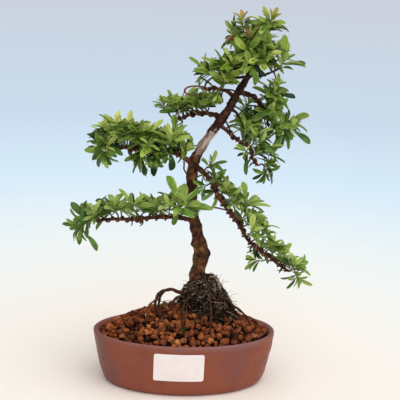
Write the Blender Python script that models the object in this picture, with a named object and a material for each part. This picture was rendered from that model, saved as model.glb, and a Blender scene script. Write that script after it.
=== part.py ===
"""A pyracantha bonsai in its oval pot, modelled in Blender as closed solids.

The pot stands on the plane z = 0 with its foot centred on the origin, and its long side lies along X.
The tree is described in its own front frame, with x to the right, y away from the viewer and z up,
and is then turned by TREE_TURN, because it faces a little to one side of the pot's front.
All sizes are in millimetres, and MM turns them to Blender's metres.
"""
import math
import random

import bmesh
import bpy
import numpy as np
from mathutils.bvhtree import BVHTree

MM = 0.001

# Driving dimensions of the pot
POT_LENGTH = 175.0
POT_WIDTH = 103.0
POT_HEIGHT = 50.5
FOOT_LENGTH = 143.0
FOOT_WIDTH = 84.0
BELLY = 4.4
BELLY_HEIGHT = 10.0
RIM_BAND = 3.0
POT_WALL = 6.0
FLOOR_TOP = 7.0
RECESS = 2.0
FOOT_BAND = 6.0
POT_SIDES = 38
DRAIN_SPACING = 60.0
DRAIN_DIAMETER = 12.0
DRAIN_SIDES = 14
SCREEN_SIZE = 18.0
SCREEN_THICKNESS = 1.0
SCREEN_HOLE = 3.4
SCREEN_PITCH = 4.8

# Clear gap between pieces that touch on the real tree
GAP = 0.3

# The granules rise from the rim to a mound under the roots
SOIL_EDGE = 48.0
SOIL_RISE = 27.0
SOIL_POWER = 1.9
GRANULE_RELIEF = 1.5
SOIL_RINGS = 9

# The blank sticker on the front wall
LABEL_CENTRE = (-8.0, 30.5)
LABEL_SIZE = (46.5, 27.0)
LABEL_CORNER = 2.0
LABEL_THICKNESS = 0.6

# The tree
TREE_TURN = -4.9
STEP = 8.5
TRUNK_STEP = 11.0
BRANCH_SIDES = 6
TRUNK_SIDES = 8
ROOT_STEP = 6.0

# Wires: their steps in a turn, and where the winding starts from a branch's foot
WIRE_RADIUS = 0.8
WIRE_PITCH = 9.0
WIRE_STEPS = 6
WIRE_START = 10.0
WIRE_END = 2.0
HOOK_START = 50.0
HOOK_TURNS = 1.25

# Twigs: how far they stand out before they may bend, and how often a new seat is tried
TWIG_RADIUS = 0.75
TWIG_END_RADIUS = 0.66
TWIG_CLEAR = 4.6
TWIG_LIFT = 0.5
BARE_RADII = [0.9, 0.75, 0.35]
SEAT_GAP = 0.35
SEAT_TRIES = 14
SEAT_NUDGE = 0.6

# Leaves: a rosette draws them in rings of three from its twig's end
LEAF_WIDTH_SHARE = 0.36
LEAF_WIDTH_BASE = 0.6
LEAF_THICKNESS = 0.7
LEAF_SHARE = 0.49
LEAF_TURN = 137.5
LEAF_RING = 1.4
RING_LEAVES = 3
BIG_LEAF = 17.5
LEAF_DROOP = 0.16
LEAF_LIFT = 0.18
LEAF_TRIES = 8
LEAF_NUDGE = 0.12
MARGIN = 0.25

# Trunk: x, y, z and radius, from its buried foot to the topmost shoot
TRUNK = [
    (13, 8, 77, 8.6), (10, 8, 99, 7.0), (12, 8, 115, 7.0), (12, 8, 127, 7.0), (9, 8, 140, 5.8),
    (4, 8, 160, 5.0), (2, 8, 177, 4.9), (1, 7, 195, 4.9), (2, 5, 211, 4.9), (6, 4, 222, 4.4),
    (14, 3, 236, 4.0), (26, 1, 255, 4.0), (32, 0, 265, 3.7), (39, 0, 279, 3.4), (48, 0, 296, 2.6),
    (49, 0, 308, 1.9), (45, 0, 323, 1.4), (42, 0, 334, 1.0),
]
KNOTS = [(16.5, 6.5, 127, 5.0), (1.6, 5.4, 190, 5.4), (5.2, 7.0, 133, 4.6), (24.5, 0.6, 252.5, 4.6)]

# Branches: radius at the trunk, radius at the end, whether it is wired, and the points on its way
BRANCHES = {
    "lower_left": (2.3, 1.2, True, [(4, 8, 155), (-6, 2, 159), (-22, -4, 161), (-36, -8, 161),
                                    (-51, -10, 159), (-66, -10, 159), (-79, -8, 157), (-90, -5, 155)]),
    "middle_left": (2.4, 1.2, True, [(2, 5, 210), (-5, 0, 216), (-15, -4, 222), (-29, -9, 226),
                                     (-47, -10, 225), (-61, -8, 226), (-73, -6, 228), (-81, -4, 228)]),
    "upper_left": (1.9, 1.1, True, [(25, 1, 253), (18, 4, 258), (9, 8, 258), (-1, 11, 256),
                                    (-11, 14, 252), (-18, 15, 248)]),
    "top_left": (1.8, 1.1, True, [(37, 0, 274), (31, -4, 280), (23, -8, 283), (15, -11, 284),
                                  (8, -12.5, 283.5)]),
    "crown_left": (1.4, 1.0, False, [(48, 0, 294), (38, -4, 294), (28, -7, 294), (18, -9, 297)]),
    "falling": (2.4, 1.2, True, [(3, 5, 209), (10, 0, 205), (18, -5, 199), (24, -9, 188),
                                 (31, -11, 178), (39, -12, 168), (47, -12, 158), (54, -11, 146),
                                 (64, -10, 136), (76, -8, 128), (87, -6, 119), (96, -4, 113)]),
    "middle_right": (1.9, 1.1, True, [(23, 1, 250), (30, -5, 246), (38, -9, 240), (46, -12, 235),
                                      (52, -13, 232), (55, -12, 222), (61, -11, 215)]),
    "upper_right": (2.0, 1.1, True, [(41, 0, 280), (49, 4, 278), (56, 8, 273), (62, 11, 266),
                                     (73, 14, 255), (80, 14, 249)]),
    "back_right": (1.4, 1.0, False, [(33, 0, 265), (39, 7, 260), (44, 12, 252), (49, 15, 247)]),
    "crown_right": (1.4, 0.9, False, [(48, 0, 296), (57, -3, 296), (66, -5, 299), (75, -6, 304)]),
    "crown_top": (1.2, 0.9, False, [(48, 0, 310), (54, 3, 322), (59, 4, 333)]),
    "crown_back": (1.2, 0.9, False, [(49, 0, 302), (53, 9, 310), (57, 15, 317)]),
}

# Bare twigs and stubs: the branch, the share of its length, and the offset of the tip
BARE_TWIGS = [
    ("lower_left", 0.62, (-1, -1, -6)), ("lower_left", 0.48, (-2, -1, -7)),
    ("middle_left", 0.16, (-4, -2, -6)), ("upper_left", 0.90, (-5, 1, 7)),
    ("upper_left", 0.84, (-4, 1, -7)), ("falling", 0.20, (10, -2, 9)),
    ("falling", 0.66, (-2, -1, -7)), ("falling", 0.73, (-4, -1, -6)),
    ("falling", 0.92, (-3, -1, -6)), ("upper_right", 0.72, (1, -4, -13)),
    ("upper_right", 0.95, (2, -3, -11)), ("top_left", 0.45, (-1, -2, -6)),
    ("middle_right", 0.90, (-5, 2, -6)), ("crown_right", 0.80, (2, -3, -7)),
]

# Thick exposed roots: radius at the ball, radius at the tip, and the points on the way
ROOTS = [
    (1.9, 1.3, [(4, 2, 84), (-5, 0, 86), (-12, -2, 89), (-18, -3, 89), (-25, -3, 86),
                (-28, -3, 80), (-29, -3, 72), (-29, -3, 60)]),
    (1.4, 1.1, [(-20, -3, 88.5), (-24, -1, 83), (-25, 0, 76), (-25, 0, 62)]),
    (1.0, 0.7, [(-27.5, -4, 81), (-31, -8, 78), (-34, -11, 76), (-36, -15, 72), (-36, -19, 66),
                (-36, -20, 56)]),
    (1.5, 1.1, [(4, 2, 80), (-6, -3, 83), (-12, -6, 79), (-17, -7, 72), (-20, -7, 62)]),
    (1.1, 0.8, [(8, -2, 90), (-1, -14, 81), (-2, -21, 72), (-2, -26, 65), (-2, -30, 55)]),
    (1.1, 0.8, [(22, -8, 88), (24, -18, 77), (24, -23, 70), (24, -28, 64), (24, -32, 55)]),
    (1.3, 0.9, [(36, 4, 82), (45, -1, 76), (52, -3, 71), (59, -5, 65), (64, -6, 55)]),
    (1.3, 0.9, [(22, 18, 86), (26, 28, 76), (29, 34, 66), (30, 37, 55)]),
]
# Root ball: height, centre x, radius; its depth is BALL_DEPTH of its width
BALL = [(103.5, 21.0, 3.5), (100.0, 18.3, 9.5), (95.0, 16.8, 13.5), (86.0, 17.0, 19.5),
        (78.0, 18.5, 23.7), (68.0, 21.0, 26.3), (55.0, 21.0, 26.0), (36.0, 19.0, 21.0)]
BALL_DEPTH = 0.86
BALL_Y = 6.0
BALL_SIDES = 26

# Sprays on each branch: the share of its length, then for each rosette of leaves the offset of its
# centre, the number of leaves, their length, and the tips of single leaves that stand out from it
SPRAYS = {
    "lower_left": [
        (1.00, [(-11, -1, -6, 11, 18, [(-27, -5, -3), (-11, -5, -21), (8, -9, -24)]),
                (-8, 7, -1, 9, 15)]),
        (0.92, [(-3, -5, 8, 10, 15)]),
        (0.76, [(-2, -4, 12, 12, 17, [(-19, -2, 19)]), (-7, 14, 6, 8, 15)]),
        (0.60, [(-1, -6, 15, 11, 16), (5, 12, 8, 8, 15)]),
        (0.40, [(1, -1, 8, 9, 18)]),
        (0.22, [(6, -13, 14, 8, 19, [(-7, -11, 42), (23, -17, 31), (25, -17, 19), (0, -19, -2)])]),
    ],
    "middle_left": [
        (1.00, [(-2, -2, 7, 12, 14), (0, -8, -9, 9, 13)]),
        (0.90, [(2, -2, 17, 12, 13)]),
        (0.74, [(1, -5, 22, 10, 15), (-1, 13, 14, 7, 14)]),
        (0.52, [(-1, -2, 15, 10, 14), (6, -4, -6, 6, 12)]),
        (0.40, [(0, 7, 13, 9, 13), (-19, -1, -7, 6, 16, [(-14, -3, -24)])]),
        (0.34, [(7, -3, 15, 10, 17, [(4, -3, 34)]), (3, -7, 6, 8, 13, [(5, -7, -17)])]),
        (0.18, [(5, -6, 6, 4, 12)]),
    ],
    "upper_left": [
        (1.00, [(-10, -3, 16, 11, 12), (1, -7, 18, 10, 12)]),
        (0.58, [(-4, -3, 10, 10, 13), (-8, 7, 8, 8, 12)]),
        (0.32, [(-2, -3, 10, 8, 13)]),
    ],
    "top_left": [
        (0.85, [(-8, -2, 6, 6, 14), (3, -6, -6, 5, 12)]),
        (0.52, [(5, -6, 11, 8, 13)]),
    ],
    "crown_left": [
        (1.00, [(-7, 1, 1, 12, 16, [(-23, -1, 15)])]),
        (0.78, [(0, 4, 9, 10, 15), (10, -6, 11, 10, 15)]),
    ],
    "trunk": [
        (1.00, [(-1, 0, 10, 10, 13), (-7, -2, -2, 8, 12)]),
        (0.95, [(0, -9, -3, 10, 17, [(-22, -8, -6)])]),
        (0.93, [(-4, 12, -6, 8, 14)]),
        (0.91, [(11, -10, 2, 9, 16), (2, -12, -4, 9, 16)]),
    ],
    "crown_top": [
        (0.55, [(-6, -5, 7, 8, 13)]),
        (1.00, [(7, 0, 11, 9, 13, [(-1, -2, 21)])]),
    ],
    "crown_back": [
        (1.00, [(-3, 3, 1, 9, 15), (5, 2, 8, 8, 15)]),
    ],
    "crown_right": [
        (1.00, [(4, -1, 5, 5, 19, [(4, -2, 30), (23, -3, 6)])]),
        (0.75, [(-8, -2, 12, 8, 14), (-5, 4, 24, 7, 18)]),
    ],
    "upper_right": [
        (0.38, [(18, -3, 15, 8, 12), (15, -7, 7, 4, 17, [(35, -7, 6)])]),
        (0.54, [(8, -3, 7, 7, 14), (11, -7, -1, 6, 15)]),
        (0.82, [(-1, -6, -2, 8, 17), (-4, -8, -11, 7, 15)]),
        (1.00, [(6, -4, -2, 11, 18, [(30, -6, -13), (0, -10, -20)])]),
    ],
    "back_right": [
        (0.50, [(9, 6, 10, 9, 13)]),
        (1.00, [(1, 2, 3, 9, 14), (8, -6, -3, 8, 14)]),
    ],
    "middle_right": [
        (0.42, [(7, 4, 9, 7, 17), (4, 14, 10, 5, 12)]),
        (0.60, [(9, 3, 9, 7, 13), (12, -1, 3, 5, 15)]),
        (0.66, [(-2, -7, -2, 7, 12)]),
        (0.78, [(5, 3, 1, 7, 13), (13, 7, 3, 4, 16)]),
        (1.00, [(9, 1, 3, 12, 12), (6, -3, -4, 8, 13)]),
    ],
    "falling": [
        (0.10, [(5, -2, 10, 7, 12), (12, -10, -3, 4, 11)]),
        (0.18, [(-8, -1, -3, 5, 13)]),
        (0.27, [(7, 0, 6, 9, 14), (14, -5, -6, 9, 14)]),
        (0.43, [(12, 0, 11, 8, 19, [(9, -2, 33)])]),
        (0.52, [(8, -3, 7, 7, 14), (18, 2, 1, 8, 15)]),
        (0.66, [(11, -1, 10, 10, 15)]),
        (0.74, [(-3, -4, -9, 4, 14)]),
        (0.80, [(5, 1, 10, 9, 15)]),
        (0.88, [(6, -1, 6, 9, 15)]),
        (1.00, [(3, -2, 5, 9, 15), (6, -2, -6, 8, 14)]),
    ],
}

# Wires: the branch at each end, and the points where the wire passes behind the trunk
WIRES = {
    "wire_lower": ("lower_left", [(-3.6, 11.5, 161), (-2, 15.6, 164), (3, 16.4, 167), (9, 13.5, 169),
                                  (13, 8, 170), (19, 1, 171), (26, -5, 172)], None),
    "wire_middle": ("middle_left", [(-6.8, 6, 209), (-6.4, 10.5, 203), (-1.5, 13.8, 197),
                                    (4.5, 13.0, 196), (8.6, 8.4, 199)], "falling"),
    "wire_upper": ("upper_left", [(20.0, 6.5, 259), (25.0, 7.6, 256.5), (29.6, 5.2, 252.5)],
                   "middle_right"),
    "wire_top": ("top_left", [(33.2, 4.4, 281), (38.0, 6.0, 279.5), (43.0, 6.4, 277.0)],
                 "upper_right"),
}
WIRE_LOOP = [(6.5, -9.6, 285.0), (0.0, -11.0, 285.6), (-5.5, -12.0, 284.6), (-9.0, -12.6, 282.0),
             (-7.6, -13.0, 279.2), (-2.5, -13.4, 278.0), (3.0, -14.4, 278.8)]


def clear_scene():
    for item in list(bpy.data.objects):
        bpy.data.objects.remove(item, do_unlink=True)


def make_collection(name):
    collection = bpy.data.collections.new(name)
    bpy.context.scene.collection.children.link(collection)
    return collection


def make_material(name, colour, roughness, metallic=0.0):
    material = bpy.data.materials.new(name)
    material.use_nodes = True
    shader = material.node_tree.nodes["Principled BSDF"]
    shader.inputs["Base Color"].default_value = (*colour, 1.0)
    shader.inputs["Roughness"].default_value = roughness
    shader.inputs["Metallic"].default_value = metallic
    return material


def unit(vector):
    return vector / max(np.linalg.norm(vector), 1e-9)


def turned(points):
    """Turns points from the tree's front frame into the pot's frame."""
    angle = math.radians(TREE_TURN)
    points = np.array(points, float)
    result = points.copy()
    result[..., 0] = math.cos(angle) * points[..., 0] - math.sin(angle) * points[..., 1]
    result[..., 1] = math.sin(angle) * points[..., 0] + math.cos(angle) * points[..., 1]
    return result


def smooth_path(points, step):
    """Reads points about one step apart from a Catmull-Rom curve through the given rows."""
    rows = np.array(points, float)
    ends = np.vstack([2 * rows[0] - rows[1], rows, 2 * rows[-1] - rows[-2]])
    t = np.linspace(0, 1, 24, endpoint=False)[:, None]
    pieces = []
    for a, b, c, d in zip(ends, ends[1:], ends[2:], ends[3:]):
        pieces.append(0.5 * (2 * b + (c - a) * t + (2 * a - 5 * b + 4 * c - d) * t ** 2
                             + (3 * b - 3 * c + d - a) * t ** 3))
    dense = np.vstack(pieces + [rows[-1:]])
    travel = np.linalg.norm(np.diff(dense[:, :3], axis=0), axis=1)
    length = np.concatenate([[0], np.cumsum(travel)])
    count = max(2, int(round(length[-1] / step)) + 1)
    places = np.linspace(0, length[-1], count)
    return np.stack([np.interp(places, length, column) for column in dense.T], axis=1)


def mesh_object(name, vertices, faces, collection, material=None):
    mesh = bpy.data.meshes.new(name)
    mesh.from_pydata((np.array(vertices) * MM).tolist(), [], [tuple(face) for face in faces])
    item = bpy.data.objects.new(name, mesh)
    collection.objects.link(item)
    if material:
        mesh.materials.append(material)
    return item


def loft(name, rings, collection, material=None):
    """Skins closed rings of equal length, and closes both ends by a fan round a middle point."""
    rings = np.array(rings, float)
    rows, sides = rings.shape[:2]
    vertices = rings.reshape(-1, 3)
    faces = []
    for row in range(rows - 1):
        following = row + 1
        for k in range(sides):
            near = (k + 1) % sides
            faces.append((row * sides + k, row * sides + near, following * sides + near))
            faces.append((row * sides + k, following * sides + near, following * sides + k))
    vertices = np.vstack([vertices, rings[0].mean(axis=0), rings[-1].mean(axis=0)])
    last = (rows - 1) * sides
    for k in range(sides):
        near = (k + 1) % sides
        faces.append((rows * sides, near, k))
        faces.append((rows * sides + 1, last + k, last + near))
    item = mesh_object(name, vertices, faces, collection, material)
    outward(item.data)
    return item


def outward(mesh):
    body = bmesh.new()
    body.from_mesh(mesh)
    bmesh.ops.recalc_face_normals(body, faces=body.faces)
    body.to_mesh(mesh)
    body.free()


def tube(name, path, radii, sides, collection, material=None):
    """A round bar: a bevelled POLY curve with filled caps, made a mesh with its caps welded on."""
    curve = bpy.data.curves.new(name, "CURVE")
    curve.dimensions = "3D"
    curve.bevel_depth = MM
    curve.bevel_resolution = (sides - 4) // 2
    curve.use_fill_caps = True
    spline = curve.splines.new("POLY")
    spline.points.add(len(path) - 1)
    flat = np.hstack([np.array(path) * MM, np.ones((len(path), 1))])
    spline.points.foreach_set("co", flat.ravel())
    spline.points.foreach_set("radius", np.broadcast_to(radii, (len(path),)).astype(float))
    rail = bpy.data.objects.new(name + "_rail", curve)
    collection.objects.link(rail)
    graph = bpy.context.evaluated_depsgraph_get()
    mesh = bpy.data.meshes.new_from_object(rail.evaluated_get(graph))
    body = bmesh.new()
    body.from_mesh(mesh)
    bmesh.ops.remove_doubles(body, verts=body.verts, dist=0.00001)
    seams = [edge for edge in body.edges if all(len(face.verts) == 3 for face in edge.link_faces)]
    bmesh.ops.dissolve_edges(body, edges=seams)
    bmesh.ops.recalc_face_normals(body, faces=body.faces)
    body.to_mesh(mesh)
    body.free()
    item = bpy.data.objects.new(name, mesh)
    item.matrix_world = rail.matrix_world
    collection.objects.link(item)
    bpy.data.objects.remove(rail, do_unlink=True)
    bpy.data.curves.remove(curve)
    mesh.materials.clear()
    if material:
        mesh.materials.append(material)
    return item


def join_by_boolean(item, others, operation):
    """Joins others to item, or cuts them from it, in one Boolean on a collection."""
    tools = bpy.data.collections.new(item.name + "_tools")
    bpy.context.scene.collection.children.link(tools)
    for other in others:
        for home in list(other.users_collection):
            home.objects.unlink(other)
        tools.objects.link(other)
    modifier = item.modifiers.new("join", "BOOLEAN")
    modifier.operation = operation
    modifier.operand_type = "COLLECTION"
    modifier.collection = tools
    modifier.solver = "EXACT"
    graph = bpy.context.evaluated_depsgraph_get()
    result = bpy.data.meshes.new_from_object(item.evaluated_get(graph))
    item.modifiers.remove(modifier)
    item.data = result
    for other in others:
        bpy.data.objects.remove(other, do_unlink=True)
    bpy.data.collections.remove(tools)
    return item


def bodies_of(body):
    """Groups a mesh's faces into the separate bodies that they form."""
    waiting = set(body.faces)
    groups = []
    while waiting:
        stack = [waiting.pop()]
        group = list(stack)
        while stack:
            for edge in stack.pop().edges:
                for face in edge.link_faces:
                    if face in waiting:
                        waiting.remove(face)
                        stack.append(face)
                        group.append(face)
        groups.append(group)
    return groups


def keep_largest_body(item):
    """Drops the loose scraps that a Boolean leaves beside the main body."""
    body = bmesh.new()
    body.from_mesh(item.data)
    bmesh.ops.remove_doubles(body, verts=body.verts, dist=0.000002)
    bmesh.ops.dissolve_degenerate(body, edges=body.edges, dist=0.000002)
    bmesh.ops.triangulate(body, faces=body.faces)
    groups = sorted(bodies_of(body), key=len)
    scraps = [face for group in groups[:-1] for face in group]
    bmesh.ops.delete(body, geom=scraps, context="FACES")
    body.to_mesh(item.data)
    body.free()


def shade_round(item, angle):
    item.data.shade_smooth()
    item.data.set_sharp_from_angle(angle=math.radians(angle))


def polygons_of(item):
    vertices = [tuple(corner.co / MM) for corner in item.data.vertices]
    return vertices, [tuple(face.vertices) for face in item.data.polygons]


def tree_of(item):
    return BVHTree.FromPolygons(*polygons_of(item))


def oval(half_length, half_width, z, sides=POT_SIDES):
    angle = np.linspace(0, 2 * math.pi, sides, endpoint=False)
    return np.stack([half_length * np.cos(angle), half_width * np.sin(angle), np.full(sides, z)], 1)


def belly(z):
    """How far the wall bulges past its straight flare: a round corner at the foot, then a slow fall."""
    if z < BELLY_HEIGHT:
        return BELLY * math.sqrt(1 - (1 - z / BELLY_HEIGHT) ** 3)
    above = (z - BELLY_HEIGHT) / (POT_HEIGHT - RIM_BAND - BELLY_HEIGHT)
    return BELLY * (1 - min(1.0, above) ** 1.3)


def wall_axes(z):
    """The half axes of the pot's outer wall at height z, without its belly: an even flare."""
    share = z / POT_HEIGHT
    half_length = FOOT_LENGTH / 2 + (POT_LENGTH - FOOT_LENGTH) / 2 * share
    half_width = FOOT_WIDTH / 2 + (POT_WIDTH - FOOT_WIDTH) / 2 * share
    return half_length, half_width


def wall_ring(z, inset):
    half_length, half_width = wall_axes(z)
    return oval(half_length - inset, half_width - inset, z)


def build_pot(parts, material):
    """An oval loft: recessed underside, foot ring, flared wall, rounded rim, inner wall and floor."""
    foot = wall_ring(0.0, 0.0)
    rings = [
        oval(FOOT_LENGTH / 2 - FOOT_BAND - 1, FOOT_WIDTH / 2 - FOOT_BAND - 1, RECESS),
        oval(FOOT_LENGTH / 2 - FOOT_BAND, FOOT_WIDTH / 2 - FOOT_BAND, 0.0),
        foot * [0.985, 0.975, 1],
        *[wall_ring(z, -belly(z)) for z in (1.2, 4.5, 11.0, 23.0, 35.0)],
        wall_ring(POT_HEIGHT - RIM_BAND, 0.0),
        wall_ring(POT_HEIGHT - 0.9, 0.5),
        wall_ring(POT_HEIGHT, 2.2),
        wall_ring(POT_HEIGHT - 0.6, POT_WALL - 1.2),
        wall_ring(POT_HEIGHT - 2.8, POT_WALL),
        wall_ring(FLOOR_TOP + 4.0, POT_WALL + 0.8 - BELLY),
        wall_ring(FLOOR_TOP, POT_WALL + 5.0 - BELLY),
    ]
    pot = loft("pot", rings, parts, material)
    drains = []
    for side in (-1, 1):
        bpy.ops.mesh.primitive_cylinder_add(vertices=DRAIN_SIDES, radius=DRAIN_DIAMETER / 2 * MM,
                                            depth=4 * FLOOR_TOP * MM,
                                            location=(side * DRAIN_SPACING / 2 * MM, 0, 0))
        drain = bpy.context.object
        drain.data.transform(drain.matrix_world)
        drain.matrix_world.identity()
        drains.append(drain)
    join_by_boolean(pot, drains, "DIFFERENCE")
    shade_round(pot, 40.0)
    return pot


def build_screen(parts, material):
    """A thin strip laid over both drainage holes, with a grid of small holes above each of them."""
    bpy.ops.mesh.primitive_cube_add(size=1)
    screen = bpy.context.object
    screen.name = "drain_screen"
    for home in list(screen.users_collection):
        home.objects.unlink(screen)
    parts.objects.link(screen)
    middle = FLOOR_TOP + GAP + SCREEN_THICKNESS / 2
    for corner in screen.data.vertices:
        corner.co.x = corner.co.x * (DRAIN_SPACING + SCREEN_SIZE) * MM
        corner.co.y = corner.co.y * SCREEN_SIZE * MM
        corner.co.z = (corner.co.z * SCREEN_THICKNESS + middle) * MM
    holes = []
    for end in (-DRAIN_SPACING / 2, DRAIN_SPACING / 2):
        for row in (-0.5, 0.5):
            for column in (-1, 0, 1):
                place = ((end + column * SCREEN_PITCH) * MM, row * SCREEN_PITCH * MM, middle * MM)
                bpy.ops.mesh.primitive_cylinder_add(vertices=6, radius=SCREEN_HOLE / 2 * MM,
                                                    depth=4 * MM, location=place)
                hole = bpy.context.object
                hole.data.transform(hole.matrix_world)
                hole.matrix_world.identity()
                holes.append(hole)
    join_by_boolean(screen, holes, "DIFFERENCE")
    screen.data.materials.append(material)
    return screen


def soil_height(x, y):
    """The mound: level at the rim, steeper outwards, almost flat round the roots."""
    half_length, half_width = wall_axes(SOIL_EDGE)
    share = np.sqrt((x / (half_length - POT_WALL)) ** 2 + (y / (half_width - POT_WALL)) ** 2)
    return SOIL_EDGE + SOIL_RISE * (1 - np.clip(share, 0, 1) ** SOIL_POWER)


def build_soil(parts, material):
    """The granule bed: a plug that fits the pot, topped by a mound with a rough relief of granules."""
    noise = random.Random(11)
    under = FLOOR_TOP + 2 * GAP + SCREEN_THICKNESS
    rings = [wall_ring(under, POT_WALL + 5.4 - BELLY),
             wall_ring(FLOOR_TOP + 5.0, POT_WALL + GAP + 1.0 - BELLY),
             wall_ring(SOIL_EDGE, POT_WALL + GAP)]
    edge = rings[-1]
    for row in range(1, SOIL_RINGS):
        share = (1 - row / SOIL_RINGS) ** 0.9
        ring = edge * [share, share, 1]
        if row % 2:
            ring = (ring + np.roll(ring, -1, axis=0)) / 2
        relief = [noise.uniform(-0.7, 1.0) * GRANULE_RELIEF for _ in ring]
        ring[:, 2] = soil_height(ring[:, 0], ring[:, 1]) + relief
        rings.append(ring)
    return loft("soil", rings, parts, material)


def ball_rings(grow, rough):
    """Rings of the root ball, swollen by grow, with shallow ridges like the roots on it."""
    noise = random.Random(5)
    angle = np.linspace(0, 2 * math.pi, BALL_SIDES, endpoint=False)
    rings = []
    for z, centre, radius in BALL:
        ridge = 1 + rough * (0.05 * np.sin(5 * angle + z / 7) + 0.035 * np.sin(9 * angle - z / 5))
        jitter = np.array([noise.uniform(-0.7, 0.7) * rough for _ in angle])
        reach = radius * ridge + jitter + grow
        lift = grow if z > 60 else -grow
        ring = np.stack([centre + reach * np.cos(angle), BALL_Y + BALL_DEPTH * reach * np.sin(angle),
                         np.full(BALL_SIDES, z + lift)], 1)
        rings.append(turned(ring))
    return rings[::-1]


def root_tubes(grow, collection):
    tubes = []
    for first, last, points in ROOTS:
        path = turned(smooth_path(points, ROOT_STEP))
        radii = np.linspace(first, last, len(path)) + grow
        if grow:
            path[-1, 2] -= grow
        tubes.append(tube("root", path, radii, 6 if first > 1.2 else 4, collection))
    return tubes


def branch_path(name):
    """Points and radii along a branch or the trunk, in the pot's frame."""
    if name == "trunk":
        rows = smooth_path(TRUNK, TRUNK_STEP)
        return turned(rows[:, :3]), rows[:, 3]
    first, last, _, points = BRANCHES[name]
    path = turned(smooth_path(points, STEP))
    return path, np.linspace(first, last, len(path))


def frames_along(path):
    """Tangent and two side directions at each point, carried along without twist."""
    tangents = np.gradient(path, axis=0)
    tangents /= np.linalg.norm(tangents, axis=1)[:, None]
    side = unit(np.cross(tangents[0], (0.0, 0.0, 1.0)))
    sides = []
    for tangent in tangents:
        side = unit(side - tangent * np.dot(side, tangent))
        sides.append(side)
    sides = np.array(sides)
    return tangents, sides, np.cross(tangents, sides)


class Guide:
    """A branch read at any distance along it: point, radius and frame."""

    def __init__(self, name):
        path, radii = branch_path(name)
        travel = np.linalg.norm(np.diff(path, axis=0), axis=1)
        corners = np.concatenate([[0], np.cumsum(travel)])
        self.length = corners[-1]
        self.places = np.linspace(0, self.length, int(self.length / 0.25) + 1)
        self.path = np.stack([np.interp(self.places, corners, axis) for axis in path.T], axis=1)
        self.radii = np.interp(self.places, corners, radii)
        self.tangents, self.sides, self.ups = frames_along(self.path)
        self.wired = name != "trunk" and BRANCHES[name][2]

    def read(self, place):
        index = int(np.abs(self.places - place).argmin())
        return (self.path[index], self.radii[index], self.tangents[index], self.sides[index],
                self.ups[index])

    def wound(self, place, angle, lift):
        point, radius, _, side, up = self.read(place)
        return point + (radius + lift) * (math.cos(angle) * side + math.sin(angle) * up)


def winding_angle(place):
    return 2 * math.pi * place / WIRE_PITCH


def winding(guide, start, end, offset=0.0):
    """Points of a wire wound round a guide; it stands off so that its straight steps stay clear."""
    count = max(2, int(round(abs(end - start) / WIRE_PITCH * WIRE_STEPS)) + 1)
    points = []
    for place in np.linspace(start, end, count):
        radius = guide.read(place)[1]
        reach = (radius + WIRE_RADIUS + GAP) / math.cos(math.pi / WIRE_STEPS)
        points.append(guide.wound(place, winding_angle(place) + offset, reach - radius))
    return points


def facing_place(guide, start, towards, offset=0.0):
    """The place within one turn after start where a wound wire lies on the side that faces towards."""
    places = np.arange(start, start + WIRE_PITCH, 0.25)
    facing = []
    for place in places:
        point = guide.read(place)[0]
        wire = guide.wound(place, winding_angle(place) + offset, 1.0)
        facing.append(np.dot(unit(wire - point), unit(towards - point)))
    return places[int(np.argmax(facing))]


def build_wire(name, guides, parts, material):
    """A wire from one branch's end to its foot, behind the trunk, and out along the next branch."""
    first, behind, second = WIRES[name]
    behind = smooth_path(turned(behind), 3.0)
    guide = guides[first]
    points = winding(guide, guide.length - WIRE_END, facing_place(guide, WIRE_START, behind[0]))
    if name == "wire_top":
        loop = smooth_path(turned(WIRE_LOOP), 2.6)
        points = list(loop[::-1]) + points
    points = points + list(behind)
    if second:
        guide = guides[second]
        place = facing_place(guide, WIRE_START, behind[-1])
        points += winding(guide, place, guide.length - WIRE_END)
    else:
        guide = guides["falling"]
        place = facing_place(guide, HOOK_START, behind[-1], math.pi)
        points += winding(guide, place, place + HOOK_TURNS * WIRE_PITCH, math.pi)
    wire = tube(name, np.array(points), WIRE_RADIUS, 4, parts, material)
    shade_round(wire, 60.0)
    return wire


def build_wood(guides, parts, material):
    """Trunk, branches, knots and bare twigs, grown as one piece and joined as one body."""
    path, radii = branch_path("trunk")
    wood = tube("trunk_and_branches", path, radii, TRUNK_SIDES, parts, material)
    limbs = []
    for name in BRANCHES:
        path, radii = branch_path(name)
        limbs.append(tube(name, path, radii, BRANCH_SIDES, parts))
    for x, y, z, radius in KNOTS:
        bpy.ops.mesh.primitive_ico_sphere_add(subdivisions=1, radius=radius * MM,
                                              location=turned((x, y, z)) * MM)
        knot = bpy.context.object
        knot.data.transform(knot.matrix_world)
        knot.matrix_world.identity()
        limbs.append(knot)
    for branch, share, offset in BARE_TWIGS:
        guide = guides[branch]
        place, direction = seat_of(guide, share * guide.length, turned(offset))
        point = guide.read(place)[0]
        bend = point + direction * max(0.55 * np.linalg.norm(offset), TWIG_CLEAR)
        tip = point + turned(offset)
        limbs.append(tube("bare", np.array([point, bend, tip]), BARE_RADII, 4, parts))
    join_by_boolean(wood, limbs, "UNION")
    keep_largest_body(wood)
    shade_round(wood, 60.0)
    return wood


def seat_of(guide, place, offset):
    """Where a twig leaves a branch, midway between two turns of its wire, and in which direction."""
    _, _, tangent, side, up = guide.read(place)
    across = unit(offset - tangent * np.dot(offset, tangent))
    if guide.wired:
        angle = math.atan2(np.dot(across, up), np.dot(across, side))
        behind = (angle + math.pi - winding_angle(place) + math.pi) % (2 * math.pi) - math.pi
        place = place + behind / (2 * math.pi) * WIRE_PITCH
    last = guide.length - (5.0 if guide.wired else 1.0)
    if place > last:
        place -= WIRE_PITCH if guide.wired else place - last
    place = max(place, 2.0)
    _, _, tangent, _, _ = guide.read(place)
    across = unit(offset - tangent * np.dot(offset, tangent))
    return place, across


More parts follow.
